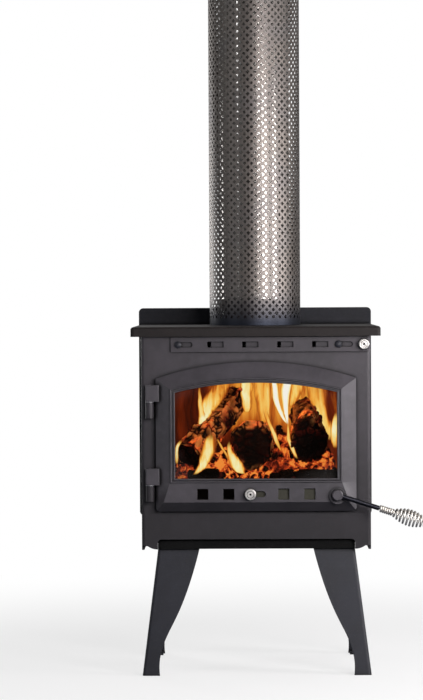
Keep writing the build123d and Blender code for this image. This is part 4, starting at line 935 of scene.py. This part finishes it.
class HEATER_OT_ropes(Operator):
    """Woven glass rope round the door and the flat woven tape under the glass"""

    bl_idname = "heater.ropes"
    bl_label = "Door rope and glass tape"

    # Straight pieces in each half of the arch
    ARCH_STEPS = 40

    def arched_path(self, node, inset, ease, step):
        """Closed path inside an arched ring, its corners eased: pairs of a point and the way out of the ring."""
        low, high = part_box(node)
        rim = [vertex.co.z for vertex in frame["nodes"][node].data.vertices if vertex.co.x > high.x - 0.02 * MM]
        rise = high.z - max(rim)
        radius = (high.x ** 2 + rise ** 2) / (2 * rise)
        centre, inner = high.z - radius, radius - inset
        half, foot = high.x - inset, low.z + inset
        reach = math.asin(half / inner)
        corners = [Vector((-half, 0.0, foot)), Vector((half, 0.0, foot))]
        for count in range(2 * self.ARCH_STEPS + 1):
            turn = reach * (1 - count / self.ARCH_STEPS)
            corners.append(Vector((inner * math.sin(turn), 0.0, centre + inner * math.cos(turn))))
        path = []
        for first, last in zip(corners, corners[1:] + corners[:1]):
            steps = max(round((last - first).length / step), 1)
            path += [first.lerp(last, count / steps) for count in range(steps)]
        spread = round(ease / step)
        count = len(path)
        eased = [
            sum((path[(place + off) % count] for off in range(-spread, spread + 1)), Vector()) / (2 * spread + 1)
            for place in range(count)
        ]
        ahead = [(eased[(place + 1) % count] - eased[place - 1]).normalized() for place in range(count)]
        return [(spot, Vector((way.z, 0.0, -way.x))) for spot, way in zip(eased, ahead)]

    @staticmethod
    def weave(name, node, path, section, depth, relief):
        """Woven ring along a path; the section gives the reach out and back, and the relief is a share of a depth."""
        middle = BACK * (sum(corner.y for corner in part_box(node)) / 2)
        rows, crowns = [], []
        for place, (spot, out) in enumerate(path):
            row = []
            for side, (wide, deep) in enumerate(section):
                crown = relief(side / len(section), place / len(path))
                crowns.append(crown)
                way = out * wide + BACK * deep
                row.append(spot + middle + way - way.normalized() * (1 - crown) * depth)
            rows.append(row)
        piece = grid_piece(name, rows, closed=True)
        store(piece, relief=crowns)
        mend(piece)
        settle(piece, name, node, "glass_rope", [node])

    def execute(self, context):
        sizes = context.scene.heater_ropes
        path = self.arched_path("door_rope_seal", sizes.rope_inset, sizes.rope_ease, sizes.step)
        plaits = round(len(path) * sizes.step / sizes.plait_length)
        turns = [math.tau * side / sizes.rope_columns for side in range(sizes.rope_columns)]
        section = [(sizes.rope_width / 2 * math.cos(turn), sizes.rope_depth / 2 * math.sin(turn)) for turn in turns]

        def plait(round_share, along_share):
            twist = math.pi * sizes.strands * round_share
            pull = math.tau * plaits * along_share
            return abs(math.sin(twist + pull) * math.sin(twist - pull)) ** 0.5

        self.weave("braided_door_rope", "door_rope_seal", path, section, sizes.plait_relief, plait)

        low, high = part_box("glass_gasket")
        deep = (high.y - low.y) / 2 - 0.02 * MM
        path = self.arched_path("glass_gasket", sizes.tape_inset, 0.0, sizes.step)
        yarns = round(len(path) * sizes.step / sizes.yarn)
        columns = sizes.tape_columns
        wide = [sizes.tape_half * (-1 + 2 * side / columns) for side in range(columns + 1)]
        section = [(reach, deep) for reach in wide] + [(reach, -deep) for reach in reversed(wide)]

        def tabby(round_share, along_share):
            return 0.5 + 0.5 * math.sin(math.pi * columns * round_share) * math.sin(math.tau * yarns * along_share)

        self.weave("woven_glass_tape", "glass_gasket", path, section, sizes.tape_relief, tabby)
        return {"FINISHED"}


class HEATER_OT_logs(Operator):
    """Three split logs, charred into plates, with glowing cracks"""

    bl_idname = "heater.logs"
    bl_label = "Burning logs"

    # Each log: the middles of its near and far end, the near end's growth across and up, and both ends' shifts, in mm
    LOGS = {
        "log_left": ((-146, -92, 455), (-47, 32, 556), (1.0, 1.0), (0, 0), (7, 20)),
        "log_centre": ((-6, -98, 476), (4, 52, 486), (0.97, 1.3), (0, 2), (0, 0)),
        "log_right": ((121, -96, 470), (103, 38, 540), (1.2, 1.62), (-8, 12), (0, 4)),
    }

    # A burnt branch that leans on the embers between two logs: both its ends and its radius, in mm
    BRANCH = ((49, -52, 516), (66, 30, 468), 9.5)

    def execute(self, context):
        noise.seed_set(NOISE_SEED)
        sizes = context.scene.heater_fire
        for node, (near, far, growth, near_shift, far_shift) in self.LOGS.items():
            near, far = Vector(near) * MM, Vector(far) * MM
            grain, side, over = self.directions(near, far)
            log = copy_of_node(node)
            for vertex in log.data.vertices:
                reach = (vertex.co - near).dot(grain)
                front = 1 - smooth_step(0.0, 1.0, reach / (far - near).length)
                off = vertex.co - near - grain * reach
                wide, high = off.dot(side) * (growth[0] - 1) * front, off.dot(over) * (growth[1] - 1) * front
                shift = [a * front + b * (1 - front) for a, b in zip(near_shift, far_shift)]
                vertex.co += side * wide + over * high + Vector((shift[0], 0, shift[1])) * MM
            self.char(log, near, far, sizes)
            settle(log, "burning_" + node, node, "charred_wood", [node])

        near, far, radius = self.BRANCH
        near, far = Vector(near) * MM, Vector(far) * MM
        length, turn = (far - near).length, (far - near).to_track_quat("Z", "Y").to_euler()
        branch = primitive(
            "cylinder", vertices=24, radius=radius * MM, depth=length, location=(near + far) / 2, rotation=turn
        )
        self.char(branch, near, far, sizes)
        settle(branch, "burnt_branch", "ember_bed", "charred_wood")
        return {"FINISHED"}

    @staticmethod
    def directions(near, far):
        """Ways along the grain from one end to the other, across it, and over it."""
        grain = (far - near).normalized()
        side = grain.cross(UP).normalized()
        return grain, side, side.cross(grain)

    def char(self, piece, near, far, sizes):
        """Breaks a piece of wood into charred plates along its grain, seen from its near end."""
        grain, side, over = self.directions(near, far)
        grid = Matrix((grain / sizes.plate_length, side / sizes.plate_width, over / sizes.plate_width))
        work_on(piece)
        cracks, heats = [], []
        for vertex, spot, normal in remesh(piece, sizes.log_grid):
            cut_face = smooth_step(0.55, 0.8, -normal.dot(grain))
            warp = noise.noise_vector(spot * 42.0) * 0.45
            gaps, middles = noise.voronoi(grid @ spot + warp, distance_metric="CHEBYCHEV")
            crack = 1 - smooth_step(0.08, 0.36, gaps[1] - gaps[0])
            crack *= smooth_step(-0.45, 0.0, noise.noise(spot * 33.0) + 0.12)
            rough = (noise.noise(spot * 170.0) * 0.5 + noise.noise(spot * 60.0) * 0.8) * MM
            step = sizes.plate_step * (noise.cell(middles[0] * 3.7) - 0.5) * (1 - crack)
            lumps = noise.fractal(spot * 20.0, 0.8, 2.1, 3) * sizes.log_lumps
            vertex.co = spot + normal * (rough + step + lumps - crack * sizes.crack_depth)
            glow = 0.62 + 0.9 * noise.noise(spot * 24.0 + Vector((4.0, 1.0, 2.0)))
            rim = smooth_step(0.7, 1.35, (spot - near - grain * (spot - near).dot(grain)).length / (36 * MM))
            cracks.append(crack)
            heats.append(kept_between(glow * (1 - cut_face * (0.97 - 0.6 * rim))))
        store(piece, crack=cracks, warmth=heats)
        bpy.ops.object.shade_smooth()


class HEATER_OT_embers(Operator):
    """Bed of glowing embers with loose coals on it"""

    bl_idname = "heater.embers"
    bl_label = "Embers and coals"

    # Mounds of the ember bed between the logs: place across and deep, height and spread, in mm
    MOUNDS = ((64, -40, 52, 26), (-64, -62, 30, 22), (48, 20, 40, 34), (-30, 30, 45, 40), (150, -60, 14, 24))

    # Dark charcoal at the front of the bed: place across, distance behind the bed's front edge and width, in mm
    CHARCOAL = (
        (-126, 20, 30), (-102, 19, 36), (46, 21, 28), (70, 21, 34), (98, 21, 34), (126, 20, 34), (156, 23, 42),
    )

    # How hot a loose coal can be
    HEATS = (0.1, 0.4, 0.8, 1.0)

    def execute(self, context):
        sizes = context.scene.heater_fire
        noise.seed_set(NOISE_SEED)
        bed = copy_of_node("ember_bed")
        hollows, heats = [], []
        for vertex, spot, normal in remesh(bed, sizes.bed_grid):
            warp = noise.noise_vector(spot * 40.0) * 0.4
            gaps, _ = noise.voronoi(spot / sizes.lump_size + warp)
            lump = smooth_step(0.0, 0.45, gaps[1] - gaps[0])
            rough = noise.fractal(spot * 130.0, 0.7, 2.2, 3)
            lift = (lump - 0.75) * sizes.lump_relief + rough * 2.2 * MM
            if spot.z > BED_LOW.z + 4 * MM:
                vertex.co = spot + normal * lift
                for across, deep, height, spread in self.MOUNDS:
                    away = ((vertex.co.x - across * MM) ** 2 + (vertex.co.y - deep * MM) ** 2) / (spread * MM) ** 2
                    vertex.co.z += height * MM * math.exp(-away) * smooth_step(BED_LOW.z, BED_HIGH.z, vertex.co.z)
            hollows.append(1 - lump)
            heats.append(kept_between(0.75 + 1.1 * noise.noise(vertex.co * 16.0)))
        store(bed, hollow=hollows, warmth=heats)
        work_on(bed)
        bpy.ops.object.shade_smooth()
        settle(bed, "glowing_bed", "ember_bed", "glowing_embers", ["ember_bed"])

        ground = bvhtree.BVHTree.FromObject(bed, context.evaluated_depsgraph_get())
        draw = random.Random(COAL_SEED)
        coals = []
        for count in range(sizes.coal_count):
            across = draw.uniform(BED_LOW.x + 20 * MM, BED_HIGH.x - 20 * MM)
            deep = draw.uniform(BED_LOW.y + 6 * MM, BED_HIGH.y - 30 * MM)
            size = sizes.coal_size * draw.uniform(0.55, 1.5)
            stretch = (draw.uniform(0.8, 1.5), draw.uniform(0.7, 1.1), draw.uniform(0.6, 0.9))
            turn = (draw.uniform(0, 3), draw.uniform(0, 3), draw.uniform(0, 3))
            coals.append(self.coal(ground, (across, deep), size, stretch, turn, draw.choice(self.HEATS)))
        for across, deep, size in self.CHARCOAL:
            place = (across * MM, BED_LOW.y + deep * MM)
            turn = (0.0, 0.0, draw.uniform(-0.5, 0.5))
            coals.append(self.coal(ground, place, size * MM, (1.25, 0.8, 0.6), turn, 0.0, cuts=4))
        coals = [coal for coal in coals if coal]
        work_on(coals[0])
        for coal in coals:
            coal.select_set(True)
        bpy.ops.object.join()
        settle(context.object, "loose_coals", "ember_bed", "glowing_embers")
        return {"FINISHED"}

    @staticmethod
    def coal(ground, place, size, stretch, turn, heat, cuts=1):
        """Broken coal on the ember bed, or None where there is no bed under it."""
        landing = ground.ray_cast(Vector((*place, BED_HIGH.z + 0.1)), -UP)[0]
        if landing is None:
            return None
        clear_selection()
        bpy.ops.mesh.primitive_cube_add(size=size, location=landing + UP * (size * 0.2), rotation=turn)
        coal = bpy.context.object
        coal.scale = stretch
        bake_place()
        work_on(coal, edit=True)
        bpy.ops.mesh.bevel(offset=size * 0.14, segments=1, affect="EDGES")
        bpy.ops.mesh.subdivide(number_cuts=cuts)
        bpy.ops.object.mode_set(mode="OBJECT")
        for vertex in coal.data.vertices:
            vertex.co += noise.noise_vector(vertex.co * 1.4 / size + landing * 90.0) * size * 0.2
            vertex.co += noise.noise_vector(vertex.co * 4.5 / size) * size * 0.07
        hollows = [0.35 + 0.4 * noise.noise(vertex.co * 90.0) for vertex in coal.data.vertices]
        store(coal, hollow=hollows, warmth=[heat] * len(hollows))
        return coal


class HEATER_OT_flames(Operator):
    """Flames round the logs: curved sheets that thin out at their rims"""

    bl_idname = "heater.flames"
    bl_label = "Flames"

    # Faces along and across a flame, and of the wall of fire behind them all, which stands at a depth of its own
    TONGUE_GRID = (40, 11)
    WALL_GRID = (60, 60)
    WALL_DEPTH = 62 * MM

    # Each flame: its name, its depth in the firebox in mm, and its rows from root to tip. A row is its height, its
    # left and its right end as they show in the window, in thousandths of the window's height and of half its width,
    # and its heat in thousandths
    TONGUES = (
        ("rising_left", -60, (
            (538, -711, -688, 700), (584, -714, -632, 950), (658, -714, -552, 1000), (731, -711, -487, 950),
            (792, -705, -414, 850), (853, -654, -363, 750), (921, -581, -311, 650), (1006, -545, -253, 550),
        )),
        ("strand_left", -66, (
            (633, -714, -618, 900), (756, -714, -640, 850), (841, -714, -664, 750), (914, -713, -682, 600),
            (988, -711, -694, 450),
        )),
        ("patch_left", 5, (
            (687, -144, -85, 700), (743, -173, -42, 900), (829, -183, -37, 1000), (914, -195, -34, 950),
            (1006, -201, -28, 900),
        )),
        ("column_middle", 15, (
            (572, 46, 155, 550), (652, 24, 173, 700), (756, -5, 192, 750), (878, -27, 202, 750),
            (1006, -34, 196, 700),
        )),
        ("white_left", -30, (
            (560, 380, 399, 900), (609, 330, 377, 1250), (670, 276, 341, 1250), (756, 234, 311, 1250),
            (853, 208, 290, 1250), (939, 195, 278, 1250), (1006, 189, 275, 1250),
        )),
        ("white_right", -34, (
            (554, 386, 405, 900), (609, 365, 403, 1250), (682, 339, 403, 1250), (756, 325, 406, 1250),
            (853, 310, 424, 1250), (939, 307, 447, 1250), (1006, 313, 470, 1250),
        )),
        ("pale_right", 8, (
            (743, 398, 447, 600), (817, 400, 523, 800), (890, 411, 578, 850), (1006, 427, 616, 850),
        )),
        ("behind_right", 20, (
            (389, 892, 946, 650), (487, 841, 949, 800), (584, 768, 926, 820), (682, 702, 896, 800),
            (780, 644, 873, 750), (878, 615, 861, 700), (1006, 608, 844, 650),
        )),
        ("edge_right", -80, (
            (306, 950, 1013, 550), (389, 921, 1016, 900), (487, 917, 1016, 1000), (572, 926, 1016, 950),
            (633, 950, 1016, 800), (694, 984, 1016, 600),
        )),
        ("tongue_left", -126, (
            (37, -796, -746, 700), (83, -752, -654, 900), (144, -717, -577, 1000), (218, -705, -527, 1000),
            (291, -694, -495, 950), (364, -664, -484, 850), (425, -629, -484, 750), (487, -577, -501, 600),
        )),
        ("edge_left", -122, (
            (150, -994, -965, 600), (218, -1003, -959, 900), (291, -1000, -959, 1000), (352, -985, -936, 900),
            (407, -950, -898, 600),
        )),
        ("cup_middle", -106, (
            (42, -173, -116, 700), (68, -256, -125, 900), (108, -309, -116, 950), (156, -336, -148, 950),
            (218, -352, -212, 950), (279, -364, -265, 900), (340, -358, -303, 800), (394, -341, -317, 600),
        )),
        ("streak_middle", -100, (
            (419, -489, -469, 500), (340, -457, -422, 700), (267, -402, -361, 750), (187, -355, -323, 600),
        )),
        ("streak_right", -96, (
            (267, 309, 338, 600), (364, 240, 295, 750), (462, 187, 246, 800), (548, 150, 208, 800),
            (639, 106, 173, 750), (719, 82, 155, 600),
        )),
        ("rim_right", -100, (
            (198, 494, 526, 700), (279, 435, 488, 850), (364, 392, 450, 900), (438, 377, 424, 850),
            (535, 377, 415, 800), (633, 383, 427, 600),
        )),
    )

    @staticmethod
    def in_window(across, up, depth):
        """Point at a depth that is seen from the photograph's place through that share of the window."""
        pane = Vector((across * WINDOW_HALF, GLASS_LOW.y, WINDOW_FOOT + up * (WINDOW_CROWN - WINDOW_FOOT)))
        reach = (depth - EYE.y) / (pane.y - EYE.y)
        return EYE + (pane - EYE) * reach

    @staticmethod
    def between_rows(rows, share):
        """Row at a share of a flame's length, on a smooth curve through its rows."""
        place = share * (len(rows) - 1)
        near = min(int(place), len(rows) - 2)
        part = place - near
        before, first, second, after = (rows[kept_between(near + step, 0, len(rows) - 1)] for step in (-1, 0, 1, 2))
        return [
            b + 0.5 * part * (c - a + part * (2 * a - 5 * b + 4 * c - d + part * (3 * (b - c) + d - a)))
            for a, b, c, d in zip(before, first, second, after)
        ]

    @staticmethod
    def sheet(name, point, grid, finish):
        """Sheet of fire of so many points up and across; point gives the spot, the side, the heat and the veil at a
        share of its length and width."""
        rises = [row / (grid[0] - 1) for row in range(grid[0])]
        sides = [2 * column / (grid[1] - 1) - 1 for column in range(grid[1])]
        spots = [[point(rise, side) for side in sides] for rise in rises]
        flame = grid_piece(name, [[spot[0] for spot in row] for row in spots])
        for place, attribute in enumerate(("side", "warmth", "veil"), start=1):
            store(flame, **{attribute: [spot[place] for row in spots for spot in row]})
        settle(flame, name, "ember_bed", finish)

    def execute(self, context):
        sizes = context.scene.heater_fire
        for count, (name, depth, rows) in enumerate(self.TONGUES):
            rows = [[part / 1000 for part in row] for row in rows]
            leaves_window = rows[-1][0] > 1

            def tongue(rise, side):
                up, left, right, heat = self.between_rows(rows, rise)
                wave = 0.012 * noise.noise(Vector((count * 7.3, rise * 4, 0))) * smooth_step(0, 0.3, rise)
                across = (left + right) / 2 + side * (right - left) / 2 + wave
                spot = self.in_window(across, up, depth * MM)
                spot.y -= sizes.flame_bulge * (1 - side * side) * min((right - left) * 4, 1.0)
                spot.y += 6 * MM * noise.noise(spot * 14.0 + Vector((count, 0, 0)))
                veil = smooth_step(0.0, 0.12, rise) * (1.0 if leaves_window else 1 - smooth_step(0.75, 1.0, rise))
                return spot, side, heat, veil * min(heat * 1.25, 1.0)

            self.sheet("flame_" + name, tongue, self.TONGUE_GRID, "flame")

        # The wall of fire covers the whole window: partly flames behind the logs, partly painted firelight on the
        # firebox walls that it hides
        def wall(rise, side):
            across, up = side * 1.06, 0.02 + rise * 0.985
            spot = self.in_window(across, up, self.WALL_DEPTH)
            spot.y += 10 * MM * noise.noise(spot * 9.0)
            middle = smooth_step(-0.68, -0.38, across) * (1 - smooth_step(0.8, 0.92, across))
            high = smooth_step(0.3, 0.75, up)
            heat = 0.1 + 0.5 * middle * high + 0.14 * smooth_step(0.8, 0.92, across) * high
            heat += 0.25 * smooth_step(0.3, 0.0, up) + 0.12 * noise.noise(Vector((across * 4, up * 1.5, 3.0)))
            return spot, side * 0.4, heat, 0.97

        self.sheet("flame_wall", wall, self.WALL_GRID, "far_flame")
        return {"FINISHED"}


class HEATER_OT_studio(Operator):
    """Pale floor and backdrop, soft lamps and the camera of the photograph"""

    bl_idname = "heater.studio"
    bl_label = "Studio"

    FLOOR_SIZE = 60.0
    FLOOR_DROP = 0.2 * MM
    WARM_WHITE = (1.0, 0.97, 0.98)
    COOL_WHITE = (0.95, 0.97, 1.0)
    FIRELIGHT = (1.0, 0.4, 0.14)

    # Lamps: the setting that gives their power, their width and height, their place, what they face and their colour
    LAMPS = {
        "key": ("key", (0.6, 0.8), (1.15, -1.6, 0.95), (0.0, -0.1, 0.6), WARM_WHITE),
        "front": ("front", (0.8, 0.8), (0.75, -2.6, 1.2), (0.0, -0.1, 0.6), WARM_WHITE),
        "right": ("right", (0.5, 0.9), (1.7, -0.5, 0.85), (0.2, -0.2, 0.55), WARM_WHITE),
        "side": ("side", (0.12, 2.4), (-2.3, -1.5, 1.3), (0.0, 0.0, 0.7), COOL_WHITE),
        "back": ("back", (2.4, 1.6), (-1.0, 3.2, 2.4), (0.0, 0.0, 0.7), WHITE),
        "rear": ("rear", (1.0, 1.0), (-2.0, 2.6, 0.9), (0.0, 0.2, 0.6), WHITE),
        "fire_middle": ("fire", (0.1, 0.1), (0.03, 0.03, 0.6), (0.0, -0.03, 0.45), FIRELIGHT),
        "fire_front": ("fire", (0.3, 0.03), (-0.04, -0.16, 0.6), (-0.04, 0.02, 0.47), FIRELIGHT),
    }

    def execute(self, context):
        settings = context.scene.heater_studio
        self.lay_floor(context, settings)
        for name, (power, size, place, target, colour) in self.LAMPS.items():
            lamp = bpy.data.lights.new(name, "AREA")
            lamp.shape = "RECTANGLE"
            lamp.size, lamp.size_y = size
            lamp.energy = getattr(settings, power)
            lamp.color = colour
            holder = bpy.data.objects.new(name, lamp)
            holder.location = place
            holder.rotation_euler = (Vector(target) - Vector(place)).to_track_quat("-Z", "Y").to_euler()
            context.scene.collection.objects.link(holder)
        self.surround(context, settings)
        self.aim_camera(context)
        context.scene.view_settings.view_transform = "Standard"
        return {"FINISHED"}

    def lay_floor(self, context, settings):
        """Floor that the camera sees as pale as the backdrop, with a faint shadow round the heater."""
        clear_selection()
        bpy.ops.mesh.primitive_plane_add(size=self.FLOOR_SIZE, location=(0.0, 0.0, -self.FLOOR_DROP))
        floor = context.object
        floor.name = "studio_floor"
        finish = Finish("studio_floor")
        seen = finish.node("LightPath", output="Is Camera Ray")
        grain = finish.noise(finish.place(), 3.0, detail=2.0)
        pale = finish.mix(seen * (0.97 + 0.03 * grain), toned((0.9, 1.0, 1.2), settings.floor_tone), (0.9, 0.9, 0.9))
        matt = finish.node("BsdfDiffuse", None, {"Color": pale})
        lit = finish.node("Emission", None, {"Color": WHITE, "Strength": 1.0})
        away = finish.reach(finish.place()).between(0.5, 1.9)
        floor.data.materials.append(finish.close(finish.blend(seen * (0.68 + 0.32 * away), matt, lit)))

    def surround(self, context, settings):
        """World that is white to the camera, and darker in front of the heater for what lights and mirrors it."""
        finish = Finish("studio", "World")
        direction = finish.node("TexCoord", output="Generated")
        behind = finish.axis(direction, "Y").between(-0.2, 0.45)
        rays = ("Camera", "Glossy", "Transmission")
        seen, glossy, through = (finish.node("LightPath", output=f"Is {ray} Ray") for ray in rays)
        mirrored = (glossy + through).clamped()
        dim = settings.front_fill + (settings.front_mirrored - settings.front_fill) * mirrored
        light = dim + (settings.back_fill - dim) * behind
        strength = light + (1.0 - light) * seen
        shade = finish.node("Background", None, {"Color": WHITE, "Strength": strength})
        context.scene.world = finish.close(shade)

    def aim_camera(self, context):
        """Camera of the photograph."""
        lens = bpy.data.cameras.new("photo_camera")
        lens.lens = EYE_LENS
        lens.sensor_width = 36.0
        lens.clip_end = 100.0
        camera = bpy.data.objects.new("photo_camera", lens)
        context.scene.collection.objects.link(camera)
        camera.matrix_world = (
            Matrix.Translation(EYE)
            @ Matrix.Rotation(EYE_PAN, 4, "Z")
            @ Matrix.Rotation(EYE_TILT, 4, "X")
            @ Matrix.Rotation(EYE_ROLL, 4, "Z")
        )
        context.scene.camera = camera


class HEATER_PT_looks(Panel):
    """Buttons of the heater's pieces"""

    bl_idname = "HEATER_PT_looks"
    bl_label = "Wood heater"
    bl_space_type = "VIEW_3D"
    bl_region_type = "UI"
    bl_category = "Heater"

    def draw(self, context):
        for operator in OPERATORS:
            self.layout.operator(operator.bl_idname)


SETTINGS = {
    "heater_guard": GuardSizes,
    "heater_grip": GripSizes,
    "heater_ropes": RopeSizes,
    "heater_fire": FireSizes,
    "heater_colours": HeaterColours,
    "heater_studio": StudioSettings,
}
OPERATORS = (
    HEATER_OT_studio,
    HEATER_OT_finishes,
    HEATER_OT_guard,
    HEATER_OT_grip,
    HEATER_OT_ropes,
    HEATER_OT_logs,
    HEATER_OT_embers,
    HEATER_OT_flames,
)


def register():
    """Registers the settings, the operators and the panel."""
    for name, group in SETTINGS.items():
        bpy.utils.register_class(group)
        setattr(bpy.types.Scene, name, PointerProperty(type=group))
    for shown in (*OPERATORS, HEATER_PT_looks):
        bpy.utils.register_class(shown)


def unregister():
    """Takes the panel, the operators and the settings away again."""
    for shown in reversed((*OPERATORS, HEATER_PT_looks)):
        bpy.utils.unregister_class(shown)
    for name, group in reversed(SETTINGS.items()):
        delattr(bpy.types.Scene, name)
        bpy.utils.unregister_class(group)


def main():
    """Dresses the heater."""
    register()
    bpy.ops.heater.studio()
    bpy.ops.heater.finishes()
    bpy.ops.heater.guard()
    bpy.ops.heater.grip()
    bpy.ops.heater.ropes()
    bpy.ops.heater.logs()
    bpy.ops.heater.embers()
    bpy.ops.heater.flames()


if __name__ == "__main__":
    main()
